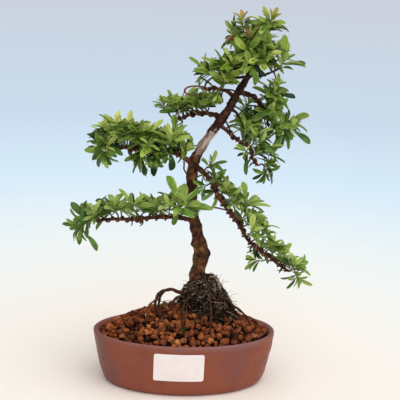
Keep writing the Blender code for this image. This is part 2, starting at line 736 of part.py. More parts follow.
def bezier(a, b, c, d, count):
    t = np.linspace(0, 1, count)[:, None]
    return (1 - t) ** 3 * a + 3 * (1 - t) ** 2 * t * b + 3 * (1 - t) * t ** 2 * c + t ** 3 * d


def twig_route(start, direction, tip, clear, rings):
    """A twig leaves straight out of its branch, then bends upwards to a straight leafy end."""
    span = np.linalg.norm(tip - start)
    heading = unit(tip - start)
    up = TWIG_LIFT if heading[2] > -0.25 else 0.0
    axis = unit(heading + np.array([0, 0, up]))
    foot = tip - axis * LEAF_RING * rings
    stalk = bezier(start, start + direction * max(clear, 0.35 * span), foot - axis * 0.3 * span, foot,
                   3 if span < 14 else 4)
    end = [foot + axis * LEAF_RING * k for k in range(1, rings + 1)]
    return np.vstack([stalk, end]), axis


def leaf_rows(corners, heading, normal, length, width, grow=0.0):
    """A blade of even thickness drawn out of a face of the twig: narrow, broad, then its blunt tip."""
    side = unit(np.cross(heading, normal))
    if length >= BIG_LEAF:
        stations = [(0.34, 0.76), (0.72, 1.0), (1.0, 0.36)]
    else:
        stations = [(0.62, 1.0), (1.0, 0.38)]
    droop = LEAF_DROOP * length
    rise = normal * (LEAF_THICKNESS / 2 + grow)
    middle = corners.mean(axis=0)
    root = [middle + x * side * 0.4 + y * rise for x, y in ((-1, 1), (1, 1), (1, -1), (-1, -1))]
    fits = [np.linalg.norm(corners - np.roll(root, -turn, axis=0)) for turn in range(4)]
    turn = int(np.argmin(fits))
    rows = [corners]
    for share, breadth in stations:
        centre = middle + heading * (share * length + grow) - normal * droop * share ** 2
        reach = side * (width / 2 * breadth + grow)
        square = [centre - reach + rise, centre + reach + rise, centre + reach - rise,
                  centre - reach - rise]
        rows.append(np.roll(square, -turn, axis=0))
    return np.array(rows)


def tree_of_rows(rows):
    faces = [(3, 2, 1, 0)]
    for row in range(len(rows) - 1):
        for k in range(4):
            near = (k + 1) % 4
            faces.append((row * 4 + k, row * 4 + near, row * 4 + 4 + near, row * 4 + 4 + k))
    last = 4 * (len(rows) - 1)
    faces.append((last, last + 1, last + 2, last + 3))
    return BVHTree.FromPolygons(rows.reshape(-1, 3).tolist(), faces)


def leaf_count(rosette):
    return max(3, int(round(rosette[3] * LEAF_SHARE)))


def ring_count(rosette):
    return math.ceil((leaf_count(rosette) - 1) / RING_LEAVES)


def rosette_plan(path, axis, rosette, aims, seed):
    """Leaves round a twig's end, each a golden turn on from the last, the youngest upright on top."""
    noise = random.Random(seed)
    side = unit(np.cross(axis, (0.31, -0.42, 0.85)))
    up = np.cross(axis, side)
    count = leaf_count(rosette)
    rings = ring_count(rosette)
    plan = [(None, unit(aim - path[-1]), np.linalg.norm(aim - path[-1]), 0.0) for aim in aims]
    for index in range(count):
        share = index / (count - 1)
        turn = math.radians(index * LEAF_TURN + noise.uniform(-14, 14))
        tilt = math.radians(78 - 50 * share + noise.uniform(-7, 7))
        around = math.cos(turn) * side + math.sin(turn) * up
        heading = unit(math.cos(tilt) * axis + math.sin(tilt) * around + np.array([0, 0, LEAF_LIFT]))
        size = rosette[4] * noise.uniform(0.8, 1.08) * (1 - 0.3 * share)
        ring = rings - 1 - index // RING_LEAVES if index < count - 1 else -1
        plan.append((ring, heading, size, share))
    return plan


def leaf_sites(body, path, axis, rings):
    """The faces of a twig's leafy end that a leaf can grow from: ring number, or -1 for its cap,
    and the way that the face looks."""
    sites = {}
    for face in body.faces:
        middle = np.array(face.calc_center_median()) / MM
        normal = np.array(face.normal)
        depth = np.dot(path[-1] - middle, axis)
        if np.dot(normal, axis) > 0.9 and abs(depth) < 0.1:
            sites[face] = (-1, normal)
        elif abs(np.dot(normal, axis)) < 0.3 and 0 < depth < LEAF_RING * rings:
            sites[face] = (int(depth // LEAF_RING), normal)
    return sites


def best_site(sites, ring, direction):
    """The free face that looks most nearly along direction, in the wanted ring if there is one."""
    best, found = 0.0, None
    for face, (level, facing) in sites.items():
        match = np.dot(facing, direction)
        score = 1 + match - (0.5 * abs(level - ring) if ring is not None else 0)
        if match > 0.25 and (found is None or score > best):
            best, found = score, face
    return found


def from_share(rows, share):
    """The blade without the first share of its stalk, so that it doesn't meet its own twig."""
    rows = rows.copy()
    rows[0] += (rows[1] - rows[0]) * share
    return rows


def build_sprays(guides, fixed, parts, materials):
    """Every spray: its twigs first, so that leaves can be kept clear of them, then its leaves."""
    scratch = make_collection("twigs")
    obstacles = [tree_of(item) for item in fixed]
    sprays = []
    for branch, table in SPRAYS.items():
        guide = guides[branch]
        for number, (share, rosettes) in enumerate(table, 1):
            name = "spray_%s_%d" % (branch, number)
            spray = grow_twigs(name, guide, share, rosettes, obstacles, scratch)
            obstacles.append(spray["tree"])
            sprays.append(spray)
    placed = []
    for number, spray in enumerate(sprays):
        others = [tree for tree in obstacles if tree is not spray["tree"]]
        placed.extend(grow_leaves(spray, others, placed))
        item = spray["twigs"][0]
        if len(spray["twigs"]) > 1:
            join_by_boolean(item, spray["twigs"][1:], "UNION")
        keep_largest_body(item)
        item.name = spray["name"]
        item.data.materials.clear()
        item.data.materials.append(materials[number % len(materials)])
        scratch.objects.unlink(item)
        parts.objects.link(item)
    bpy.data.collections.remove(scratch)


def grow_twigs(name, guide, share, rosettes, obstacles, scratch):
    """The forked twig of one spray, tried at a few seats until it is clear of all that stands."""
    noise = random.Random(name)
    home = share * guide.length
    origin = guide.read(home)[0]
    hop = WIRE_PITCH if guide.wired else 2.5
    for attempt in range(SEAT_TRIES):
        shift = (attempt + 1) // 2 * hop * (-1) ** attempt
        nudge = np.array([noise.uniform(-1, 1) for _ in range(3)]) * SEAT_NUDGE * attempt
        first = turned(rosettes[0][:3]) + nudge
        if share == 1.0 and attempt < 5:
            point, radius, tangent, _, _ = guide.read(guide.length)
            start = point + tangent * SEAT_GAP
            direction = tangent
        else:
            place, direction = seat_of(guide, min(home, guide.length - 3.0) + shift, first)
            point, radius, _, _, _ = guide.read(place)
            start = point + direction * (radius + SEAT_GAP)
        clear = radius + 2 * WIRE_RADIUS + 1.5 if guide.wired else 1.5
        main, axis = twig_route(start, direction, origin + first, clear, ring_count(rosettes[0]))
        routes = [(main, axis)]
        for rosette in rosettes[1:]:
            fork = main[1] + 0.3 * (main[2] - main[1])
            tip = origin + turned(rosette[:3]) + nudge
            routes.append(twig_route(fork, unit(main[2] - main[1]), tip, 1.0, ring_count(rosette)))
        hit = False
        for path, _ in routes:
            probe = tube("probe", path, TWIG_RADIUS + MARGIN, 4, scratch)
            tree = tree_of(probe)
            hit = hit or any(tree.overlap(other) for other in obstacles)
            bpy.data.objects.remove(probe, do_unlink=True)
        if not hit:
            break
    else:
        raise RuntimeError("no clear seat for " + name)
    twigs = [tube(name, path, np.linspace(TWIG_RADIUS, TWIG_END_RADIUS, len(path)), 4, scratch)
             for path, _ in routes]
    vertices, polygons = [], []
    for twig in twigs:
        corners, faces = polygons_of(twig)
        polygons += [tuple(k + len(vertices) for k in face) for face in faces]
        vertices += corners
    return {"name": name, "twigs": twigs, "routes": routes, "rosettes": rosettes, "origin": origin,
            "tree": BVHTree.FromPolygons(vertices, polygons)}


def grow_leaves(spray, obstacles, placed):
    """Draws the leaves out of the twigs' faces, each turned a little or left out where it would
    cross its neighbours. Returns what later sprays have to stay clear of."""
    own = []
    taken = []
    for number, ((path, axis), rosette) in enumerate(zip(spray["routes"], spray["rosettes"])):
        aims = [spray["origin"] + turned(aim) for aim in rosette[5]] if len(rosette) > 5 else []
        seed = "%s %d" % (spray["name"], number)
        noise = random.Random(seed)
        twig = spray["twigs"][number]
        body = bmesh.new()
        body.from_mesh(twig.data)
        sites = leaf_sites(body, path, axis, ring_count(rosette))
        chosen = []
        for ring, heading, size, share in rosette_plan(path, axis, rosette, aims, seed):
            for attempt in range(LEAF_TRIES):
                nudge = np.array([noise.uniform(-1, 1) for _ in range(3)]) * LEAF_NUDGE * attempt
                direction = unit(heading + nudge)
                face = best_site(sites, ring, direction)
                if face is None:
                    continue
                corners = np.array([tuple(corner.co) for corner in face.verts]) / MM
                normal = axis if ring is not None else np.array([0.1, -0.45, 1.0])
                normal = unit(normal - direction * np.dot(normal, direction))
                width = LEAF_WIDTH_SHARE * size + LEAF_WIDTH_BASE
                whole = leaf_rows(corners, direction, normal, size, width, MARGIN)
                whole_tree = tree_of_rows(whole)
                outer_tree = tree_of_rows(from_share(whole, min(0.8, 2.6 / size)))
                if outer_tree.overlap(spray["tree"]):
                    continue
                rows = leaf_rows(corners, direction, normal, size, width)
                true_tree = tree_of_rows(from_share(rows, 0.05))
                if any(outer_tree.overlap(other) or true_tree.overlap(other) for other in own):
                    continue
                if any(whole_tree.overlap(other) for other in obstacles):
                    continue
                low, high = whole.min(axis=(0, 1)), whole.max(axis=(0, 1))
                if any((lo < high).all() and (low < hi).all() and whole_tree.overlap(other)
                       for other, lo, hi in placed):
                    continue
                own.append(true_tree)
                taken.append((true_tree, rows.min(axis=(0, 1)), rows.max(axis=(0, 1))))
                chosen.append((face, rows))
                del sites[face]
                break
        for face, rows in chosen:
            for row in rows[1:]:
                drawn = bmesh.ops.extrude_discrete_faces(body, faces=[face])
                face = drawn["faces"][0]
                for corner, place in zip(face.verts, row):
                    corner.co = place * MM
        body.to_mesh(twig.data)
        body.free()
    return taken


def build_label(parts, material):
    """A thin plate with rounded corners, laid on the pot's front wall."""
    width, height = LABEL_SIZE
    fillet = np.array([0.0, 0.35, 1.0, 2.0])
    edge = np.concatenate([-width / 2 + fillet, np.linspace(-width / 2 + 6, width / 2 - 6, 7),
                           (width / 2 - fillet)[::-1]])
    rings = []
    for along in edge:
        inward = max(0.0, LABEL_CORNER - (width / 2 - abs(along)))
        cut = LABEL_CORNER - math.sqrt(max(0.0, LABEL_CORNER ** 2 - inward ** 2))
        half = height / 2 - min(cut, LABEL_CORNER * 0.9)
        ring = []
        for level, stand in ((-half, GAP), (half, GAP), (half, GAP + LABEL_THICKNESS),
                             (-half, GAP + LABEL_THICKNESS)):
            x = LABEL_CENTRE[0] + along
            z = LABEL_CENTRE[1] + level
            half_length, half_width = wall_axes(z)
            half_length += belly(z) + stand
            half_width += belly(z) + stand
            y = -half_width * math.sqrt(1 - (x / half_length) ** 2)
            ring.append((x, y, z))
        rings.append(ring)
    return loft("label", rings, parts, material)


def main():
    clear_scene()
    parts = make_collection("pyracantha_bonsai")
    clay = make_material("unglazed_clay", (0.16, 0.045, 0.03), 0.6)
    granules = make_material("clay_granules", (0.22, 0.07, 0.025), 0.9)
    fibres = make_material("root_fibres", (0.03, 0.02, 0.014), 0.9)
    bark = make_material("bark", (0.09, 0.045, 0.028), 0.75)
    wire_metal = make_material("copper_brown_aluminium", (0.14, 0.045, 0.025), 0.4, 0.7)
    mesh_plastic = make_material("screen_plastic", (0.02, 0.02, 0.02), 0.5)
    paper = make_material("white_label", (0.85, 0.84, 0.83), 0.4)
    greens = [make_material("leaf_mid_green", (0.09, 0.22, 0.03), 0.45),
              make_material("leaf_bright_green", (0.16, 0.32, 0.04), 0.45),
              make_material("leaf_dark_green", (0.04, 0.13, 0.025), 0.45)]

    pot = build_pot(parts, clay)
    build_screen(parts, mesh_plastic)
    build_label(parts, paper)

    guides = {name: Guide(name) for name in ["trunk"] + list(BRANCHES)}
    soil = build_soil(parts, granules)
    well = loft("well", ball_rings(GAP + 0.25, 1.0), parts)
    join_by_boolean(well, root_tubes(GAP + 0.1, parts), "UNION")
    join_by_boolean(soil, [well], "DIFFERENCE")
    keep_largest_body(soil)
    shade_round(soil, 20.0)

    ball = loft("root_ball", ball_rings(0.0, 1.0), parts, fibres)
    join_by_boolean(ball, root_tubes(0.0, parts), "UNION")
    path, radii = branch_path("trunk")
    path[0, 2] -= GAP
    sleeve = tube("sleeve", path[:6], radii[:6] + GAP + 0.1, TRUNK_SIDES, parts)
    join_by_boolean(ball, [sleeve], "DIFFERENCE")
    keep_largest_body(ball)
    shade_round(ball, 20.0)

    wood = build_wood(guides, parts, bark)
    wires = [build_wire(name, guides, parts, wire_metal) for name in WIRES]
    build_sprays(guides, [pot, soil, ball, wood] + wires, parts, greens)


main()
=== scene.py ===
"""The looks of a wired firethorn bonsai in its oval pot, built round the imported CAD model.

Lengths are in millimetres, and put() turns them to metres. z is up and the pot's foot is centred on the
origin. The tree's tables are in its own front frame, which turned() turns into the pot's.
"""
import math
import random

import bmesh
import bpy
import numpy as np
from mathutils import Matrix


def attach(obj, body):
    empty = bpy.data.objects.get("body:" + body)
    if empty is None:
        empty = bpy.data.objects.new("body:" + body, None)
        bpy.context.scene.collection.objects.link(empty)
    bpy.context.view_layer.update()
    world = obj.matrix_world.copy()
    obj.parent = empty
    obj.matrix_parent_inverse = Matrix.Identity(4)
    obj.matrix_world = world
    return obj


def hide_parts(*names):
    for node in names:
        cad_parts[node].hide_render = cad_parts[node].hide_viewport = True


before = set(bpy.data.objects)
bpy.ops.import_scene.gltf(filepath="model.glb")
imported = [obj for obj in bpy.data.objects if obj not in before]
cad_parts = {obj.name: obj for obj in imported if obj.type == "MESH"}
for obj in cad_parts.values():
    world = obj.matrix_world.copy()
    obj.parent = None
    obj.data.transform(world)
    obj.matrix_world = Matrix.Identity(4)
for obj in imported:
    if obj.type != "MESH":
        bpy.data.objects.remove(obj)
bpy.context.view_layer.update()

# The pot is unglazed red stoneware, pressed in an oval mould, wiped by hand and fired without a glaze.
# The kiln has left it brick red with purple-grey flashes, most of all along the rim. Its flared wall
# stands on a foot ring round a recess, and two drainage holes go through the floor.
MM = 0.001
POT_LENGTH, POT_WIDTH, POT_HEIGHT = 175.0, 103.0, 50.5
FOOT_LENGTH, FOOT_WIDTH, FOOT_BAND = 143.0, 84.0, 6.0
BELLY, BELLY_HEIGHT, RIM_BAND = 4.4, 10.0, 3.0
POT_WALL, FLOOR_TOP = 6.0, 7.0
DRAIN_SPACING, DRAIN_DIAMETER = 60.0, 12.0
POT_SIDES, DRAIN_SIDES = 200, 40


def linear(code):
    """sRGB hex to linear light: c / 12.92 below 0.04045, otherwise ((c + 0.055) / 1.055) to the 2.4."""
    channels = np.array([int(code[k:k + 2], 16) for k in (1, 3, 5)]) / 255
    curve = ((channels + 0.055) / 1.055) ** 2.4
    return (*np.where(channels < 0.04045, channels / 12.92, curve), 1.0)


def add(tree, kind, *inputs, out=0, stops=(), **settings):
    """Adds a node and returns one of its outputs, or all of them for None. inputs fill its sockets in
    order, each with a value or another node's output, and None leaves one as it is. stops are the
    places and hex colours of a colour ramp, and settings the node's properties."""
    node = tree.nodes.new("ShaderNode" + kind)
    for name, value in settings.items():
        setattr(node, name, value)
    for socket, value in zip(node.inputs, inputs):
        if isinstance(value, bpy.types.NodeSocket):
            tree.links.new(value, socket)
        elif value is not None:
            socket.default_value = linear(value) if isinstance(value, str) else value
    ramp = node.color_ramp.elements if stops else ()
    while len(ramp) < len(stops):
        ramp.new(0.5)
    for stop, (place, code) in zip(ramp, stops):
        stop.position = place
        stop.color = linear(code)
    return node.outputs if out is None else node.outputs[out]


def new_material(name, roughness, metallic=0.0, specular=0.5):
    """A material with a plain Principled shader, its node tree and the place on the object. Porous
    and fibrous things get less than the usual specular, as their pores swallow the reflection."""
    material = bpy.data.materials.new(name)
    material.use_nodes = True
    tree = material.node_tree
    for socket, value in (("Roughness", roughness), ("Metallic", metallic),
                          ("Specular IOR Level", specular)):
        tree.nodes["Principled BSDF"].inputs[socket].default_value = value
    return material, tree, add(tree, "TexCoord", out="Object")


def coat(tree, colour, layers, height, depth, sheen=None):
    """Lays layers over a first colour, each a factor, a colour and if need be another blend than a
    mix, and gives the shader the result, a height of so many millimetres as a bump and a roughness."""
    for factor, over, *blend in layers:
        colour = add(tree, "Mix", factor, *[None] * 5, colour, over, out=2, data_type="RGBA",
                     blend_type=blend[0] if blend else "MIX")
    bump = add(tree, "Bump").node
    bump.inputs["Distance"].default_value = depth * MM
    shader = tree.nodes["Principled BSDF"].inputs
    for value, socket in ((colour, shader["Base Color"]), (height, bump.inputs["Height"]),
                          (bump.outputs[0], shader["Normal"]), (sheen, shader["Roughness"])):
        if value is not None:
            tree.links.new(value, socket)


def shifted(tree, value, noise, depth):
    """A value raised or lowered by up to depth, as a noise goes from 0.3 to 0.7."""
    shift = add(tree, "MapRange", noise, 0.3, 0.7, -depth, depth)
    return add(tree, "Math", value, shift, operation="ADD")


def put(name, vertices, faces, material, attributes=None, sharp=None):
    """Makes a piece from vertices (n, 3) and a list of face arrays, each (m, corners). attributes are
    colours (n, 4) by name; an angle in sharp keeps steeper edges crisp."""
    mesh = bpy.data.meshes.new(name)
    mesh.vertices.add(len(vertices))
    mesh.vertices.foreach_set("co", (np.asarray(vertices, float) * MM).ravel())
    corners = np.concatenate([np.asarray(group).ravel() for group in faces])
    sizes = np.concatenate([np.full(len(group), np.shape(group)[1]) for group in faces])
    mesh.loops.add(len(corners))
    mesh.loops.foreach_set("vertex_index", corners.astype(np.int32))
    mesh.polygons.add(len(sizes))
    mesh.polygons.foreach_set("loop_start", (np.cumsum(sizes) - sizes).astype(np.int32))
    mesh.polygons.foreach_set("use_smooth", np.ones(len(sizes), bool))
    mesh.update(calc_edges=True)
    for label, values in (attributes or {}).items():
        layer = mesh.attributes.new(label, "FLOAT_COLOR", "POINT")
        layer.data.foreach_set("color", np.asarray(values, np.float32).ravel())
    if sharp:
        mesh.set_sharp_from_angle(angle=math.radians(sharp))
    mesh.materials.append(material)
    piece = bpy.data.objects.new(name, mesh)
    bpy.context.scene.collection.objects.link(piece)
    return piece


def skin(rings):
    """Faces that join closed rings (rows, sides, 3) into a tube, and close each end by a fan round the
    ring's mean point. Returns vertices and the face arrays, turned so that they look outwards."""
    rows, sides = rings.shape[:2]
    vertices = np.vstack([rings.reshape(-1, 3), rings[0].mean(0), rings[-1].mean(0)])
    k = np.arange(sides)
    near = (k + 1) % sides
    row = np.arange(rows - 1)[:, None] * sides
    quads = np.stack([row + k, row + near, row + sides + near, row + sides + k], -1).reshape(-1, 4)
    last = (rows - 1) * sides
    fans = np.vstack([np.stack([0 * k + rows * sides, near, k], 1),
                      np.stack([0 * k + rows * sides + 1, last + k, last + near], 1)])
    return vertices, [quads, fans]


def waves(points, size, seed, count=12):
    """Smooth noise with a spread of about 0.7: the sum of count sine waves, in seeded directions and
    about size long, divided by the root of count."""
    noise = np.random.default_rng(seed)
    directions = noise.normal(size=(count, 3))
    directions /= np.linalg.norm(directions, axis=1)[:, None] * size
    directions *= noise.uniform(0.6, 1.6, (count, 1))
    turns = points @ directions.T + noise.uniform(0, 1, count)
    return np.sin(2 * math.pi * turns).sum(-1) / math.sqrt(count)


def belly(z):
    """How far the wall bulges past its straight flare: up to the belly's height the root of 1 minus the
    cube of the share left, and above it 1 minus the share of the way to the rim, to the 1.3."""
    below = np.clip(1 - z / BELLY_HEIGHT, 0, 1)
    above = np.clip((z - BELLY_HEIGHT) / (POT_HEIGHT - RIM_BAND - BELLY_HEIGHT), 0, 1)
    return BELLY * np.sqrt(1 - below ** 3) * (1 - above ** 1.3)


def wall_row(z, inset=0.0):
    """The half axes of an even flare at height z, which is the outer wall without its belly, drawn in
    by an inset, and z."""
    share = z / POT_HEIGHT
    half_length = FOOT_LENGTH / 2 + (POT_LENGTH - FOOT_LENGTH) / 2 * share
    half_width = FOOT_WIDTH / 2 + (POT_WIDTH - FOOT_WIDTH) / 2 * share
    return half_length - inset, half_width - inset, z


def rounded(rows, step, window):
    """Reads a profile every step along its straight parts, then averages it over a window, which
    rounds its corners."""
    rows = np.array(rows, float)
    length = np.concatenate([[0], np.cumsum(np.linalg.norm(np.diff(rows, axis=0), axis=1))])
    places = np.arange(0, length[-1], step)
    dense = np.stack([np.interp(places, length, column) for column in rows.T], 1)
    half = int(window / step / 2)
    padded = np.pad(dense, ((half, half), (0, 0)), mode="edge")
    kernel = np.ones(2 * half + 1) / (2 * half + 1)
    return np.stack([np.convolve(column, kernel, "valid") for column in padded.T], 1)


def oval_rings(profile, sides):
    """Carries a profile of half length, half width and height round the oval: x = a cos t, y = b sin t."""
    t = np.linspace(0, 2 * math.pi, sides, endpoint=False)
    around = np.stack([np.cos(t), np.sin(t), np.ones(sides)], 1)
    return profile[:, None] * around


pot_profile = rounded([
    (FOOT_LENGTH / 2 - FOOT_BAND - 4, FOOT_WIDTH / 2 - FOOT_BAND - 4, 2.0),
    (FOOT_LENGTH / 2 - FOOT_BAND - 1, FOOT_WIDTH / 2 - FOOT_BAND - 1, 2.0),
    (FOOT_LENGTH / 2 - FOOT_BAND, FOOT_WIDTH / 2 - FOOT_BAND, 0.0),
    wall_row(0.0, 0.8),
    *[wall_row(z, -belly(z)) for z in (0.8, 2.0, 4.0, 7.0, 11.0, 17.0, 23.0, 29.0, 35.0, 41.0)],
    wall_row(POT_HEIGHT - RIM_BAND, 0.0),
    wall_row(POT_HEIGHT - 0.6, 0.7),
    wall_row(POT_HEIGHT + 0.2, 2.6),
    wall_row(POT_HEIGHT - 0.4, POT_WALL - 1.4),
    wall_row(POT_HEIGHT - 2.8, POT_WALL),
    wall_row(FLOOR_TOP + 4.0, POT_WALL + 0.8 - BELLY),
    wall_row(FLOOR_TOP, POT_WALL + 5.0 - BELLY),
    wall_row(FLOOR_TOP, POT_WALL + 12.0),
], 0.6, 2.4)[::2]
pot_rings = oval_rings(pot_profile, POT_SIDES)
clay_lumps = 0.22 * waves(pot_rings, 38.0, 3) + 0.1 * waves(pot_rings, 12.0, 4)
clay_lumps = clay_lumps[..., None] * np.clip(pot_rings[..., 2:] / 6.0, 0, 1)
pot_rings[..., :2] *= 1 + clay_lumps / np.linalg.norm(pot_rings[..., :2], axis=-1, keepdims=True)

stoneware, tree, place = new_material("unglazed_red_stoneware", 0.52, specular=0.3)
# The flame drew the flashes out upwards: they are some 55 mm wide and twice as high.
upright = add(tree, "Mapping", place, (0.03, 0.0, 0.0), None, (1.0, 1.0, 0.5))
flashes = add(tree, "TexNoise", upright, None, 1 / (55 * MM), 3.0)
colour = add(tree, "ValToRGB", flashes,
             stops=[(0.36, "#744238"), (0.46, "#874634"), (0.57, "#8E4A31"), (0.68, "#80483E")])
# Kiln ash has left a purple grey bloom on the lip, which fades in an uneven band below it.
ragged = shifted(tree, add(tree, "SeparateXYZ", place, out="Z"), flashes, 3.0 * MM)
rim = add(tree, "MapRange", ragged, 46 * MM, 53 * MM, 0.0, 0.7)
# Wiping with a wet sponge leaves faint level streaks, some 3 mm high and 40 mm long.
level = add(tree, "Mapping", place, None, None, (1.0, 1.0, 12.0))
wiped = add(tree, "TexNoise", level, None, 1 / (40 * MM), 6.0)
streaks = add(tree, "MapRange", wiped, 0.35, 0.65, 0.95, 1.05)
# Iron in the clay burns out as dark specks of half a millimetre, drawn at 1.4 mm so that they show.
grit = add(tree, "TexNoise", place, None, 1 / (1.4 * MM), 1.0)
iron = add(tree, "MapRange", grit, 0.70, 0.74, 0.0, 0.55)
lime = add(tree, "MapRange", grit, 0.27, 0.24, 0.0, 0.35)
fine = add(tree, "TexNoise", place, None, 1 / (0.9 * MM), 3.0)
coat(tree, colour, [(rim, "#85605F"), (1.0, streaks, "MULTIPLY"), (iron, "#3A2320"), (lime, "#A78479")],
     add(tree, "Math", wiped, fine, operation="ADD"), 0.22,
     add(tree, "MapRange", flashes, 0.35, 0.65, 0.40, 0.58))

pot = put("stoneware_pot", *skin(pot_rings), stoneware, sharp=60)
for side in (-1, 1):
    drain = np.array([[side * DRAIN_SPACING / 2, 0, 0]])
    hole = oval_rings(np.array([[DRAIN_DIAMETER / 2, DRAIN_DIAMETER / 2, 0]]), DRAIN_SIDES) + drain
    cutter = put("drain_cutter", *skin(np.vstack([hole - (0, 0, 9), hole + (0, 0, 20)])), stoneware)
    cut = pot.modifiers.new("drain", "BOOLEAN")
    cut.operation = "DIFFERENCE"
    cut.solver = "EXACT"
    cut.object = cutter
    graph = bpy.context.evaluated_depsgraph_get()
    carved = bpy.data.meshes.new_from_object(pot.evaluated_get(graph))
    pot.modifiers.remove(cut)
    pot.data = carved
    bpy.data.objects.remove(cutter)
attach(pot, "root")
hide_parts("pot")

# The drain screen is a strip of black polypropylene mesh, moulded flat and laid over both holes before
# the soil goes in. The CAD strip has its true holes already, so it only gets its finish.
polypropylene, tree, place = new_material("moulded_black_polypropylene", 0.45)
# Its satin black is greyed by soil dust, in patches of some 5 mm.
dust = add(tree, "TexNoise", place, None, 1 / (5 * MM), 5.0)
colour = add(tree, "ValToRGB", dust, stops=[(0.45, "#17181A"), (0.75, "#4A3A30")])
coat(tree, colour, [], add(tree, "TexNoise", place, None, 1 / (0.8 * MM)), 0.05)
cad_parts["drain_screen"].data.materials.clear()
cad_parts["drain_screen"].data.materials.append(polypropylene)

# The label is a bare white sticker with rounded corners, die-cut from coated paper and smoothed by
# hand onto the curved wall. Its lower left corner has lifted a little from the rough clay.
LABEL_CENTRE, LABEL_SIZE, LABEL_CORNER = (-8.0, 30.5), (46.5, 27.0), 2.2
LABEL_STAND, LABEL_THICKNESS = 0.35, 0.2
LABEL_COLUMNS, LABEL_ROWS = 60, 24

paper, tree, place = new_material("coated_white_paper", 0.32)
# The coating has a soft sheen, and fingers have left smudges of about 9 mm.
smudge = add(tree, "TexNoise", place, None, 1 / (9 * MM), 4.0)
colour = add(tree, "ValToRGB", smudge, stops=[(0.30, "#F2E7E4"), (0.60, "#F7ECE9")])
coat(tree, colour, [], add(tree, "TexNoise", place, None, 1 / (0.7 * MM), 2.0), 0.02)
# Each ring goes up the front and down the back. Its half height shrinks over the corner's radius as on
# a circle, and y is that of the wall's oval plus a stand.
along = LABEL_SIZE[0] / 2 * np.sin(np.linspace(-1, 1, LABEL_COLUMNS) * math.pi / 2)
inward = np.clip(LABEL_CORNER - (LABEL_SIZE[0] / 2 - np.abs(along)), 0, LABEL_CORNER)
half = LABEL_SIZE[1] / 2 - LABEL_CORNER + np.sqrt(LABEL_CORNER ** 2 - inward ** 2 + 1e-6)
up = np.linspace(-1, 1, LABEL_ROWS)
up = np.concatenate([up, up[::-1]])
x = LABEL_CENTRE[0] + along[:, None] + 0 * up
z = LABEL_CENTRE[1] + half[:, None] * up
lift = 0.9 * np.clip(1 - np.hypot(x - x.min(), z - z.min()) / 7, 0, 1) ** 2
lift = lift + 0.06 * waves(np.stack([x, x, z], -1), 14, 8)
stand = belly(z) + LABEL_STAND + LABEL_THICKNESS * np.repeat((1.0, 0.0), LABEL_ROWS) + lift
half_length, half_width, _ = wall_row(z)
y = -(half_width + stand) * np.sqrt(1 - (x / (half_length + stand)) ** 2)
vertices, faces = skin(np.stack([x, y, z], -1))
sticker = put("blank_sticker", vertices, [group[:, ::-1] for group in faces], paper, sharp=50)
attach(sticker, "root")
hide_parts("label")

# The bed is a hard-fired volcanic clay in porous granules of 3 to 7 mm, heaped from the rim to a mound
# under the roots. Dry ones are orange and damp ones dark brown, and a few are tan. The bed below them is
# painted near black, as painted shade in the gaps.
SOIL_EDGE, SOIL_RISE, SOIL_POWER = 48.0, 27.0, 1.9
BED_DEPTH, BED_SIDES = 3.0, 120
BALL_ROOM = (21.6, 4.2, 25.5, 21.5)
GRANULE_LAYERS = ((6.0, 1.4, 2.2, 2.4, 3.8, 3.0, 1.0), (5.6, 2.2, 3.0, 1.9, 3.7, 0.2, 0.66),
                  (4.4, 2.2, 1.3, 0.8, 1.9, 0.5, 0.50))


def bed_share(x, y, margin=0.0):
    """How far out in the pot's opening a place lies: 0 in the middle, 1 at a margin off the wall."""
    half_length, half_width, _ = wall_row(SOIL_EDGE, POT_WALL + margin)
    return np.hypot(x / half_length, y / half_width)


def soil_height(x, y):
    """The mound: level at the rim, steeper outwards, almost flat round the roots."""
    return SOIL_EDGE + SOIL_RISE * (1 - np.clip(bed_share(x, y), 0, 1) ** SOIL_POWER)


def unit(vectors):
    """Vectors divided by their lengths."""
    return vectors / np.maximum(np.linalg.norm(vectors, axis=-1, keepdims=True), 1e-9)


def joined(parts):
    """Joins lists of vertices, face arrays and one attribute into one mesh's arrays."""
    vertices, faces, colours = [], [], []
    for corners, groups, colour in parts:
        start = sum(len(other) for other in vertices)
        faces += [group + start for group in groups]
        vertices.append(corners)
        colours.append(np.broadcast_to(colour, (len(corners), 4)))
    return np.vstack(vertices), faces, np.vstack(colours)


def each_own(*channels):
    """One colour a row, from four channels that are each a value or an array with one a row."""
    return np.stack(np.broadcast_arrays(*channels), -1).astype(float)


fired_clay, tree, place = new_material("porous_fired_clay_granules", 0.92, specular=0.1)
dry, mossy, _ = add(tree, "SeparateColor", add(tree, "Attribute", attribute_name="tone"), out=None)
# Each granule has a tone for how dry it is, and is mottled within it in patches of 3 mm.
mottle = add(tree, "TexNoise", place, None, 1 / (3 * MM), 5.0)
colour = add(tree, "ValToRGB", shifted(tree, dry, mottle, 0.12),
             stops=[(0.0, "#140A07"), (0.20, "#47241A"), (0.45, "#874829"), (0.68, "#A85F35"),
                    (0.88, "#C27C48"), (1.0, "#D9B27C")])
# Pores of a few tenths of a millimetre, drawn at 0.8 mm so that they show.
pores = add(tree, "TexVoronoi", place, None, 1 / (0.8 * MM))
coat(tree, colour, [(mossy, "#3B431C")], pores, 0.35)

share = np.linspace(1, 0.04, 30)
mound = np.array(wall_row(SOIL_EDGE, POT_WALL + 0.3)) * share[:, None]
mound[:, 2] = soil_height(mound[:, 0], 0.0) - BED_DEPTH * np.minimum(1.0, (1 - share) * 12) - 1.2
bed_profile = np.vstack([wall_row(FLOOR_TOP + 1.6, POT_WALL + 5.4 - BELLY),
                         wall_row(FLOOR_TOP + 5.0, POT_WALL + 1.3 - BELLY),
                         wall_row(SOIL_EDGE - 2.0, POT_WALL + 0.3), mound])
bed_vertices, bed_faces = skin(oval_rings(bed_profile, BED_SIDES))

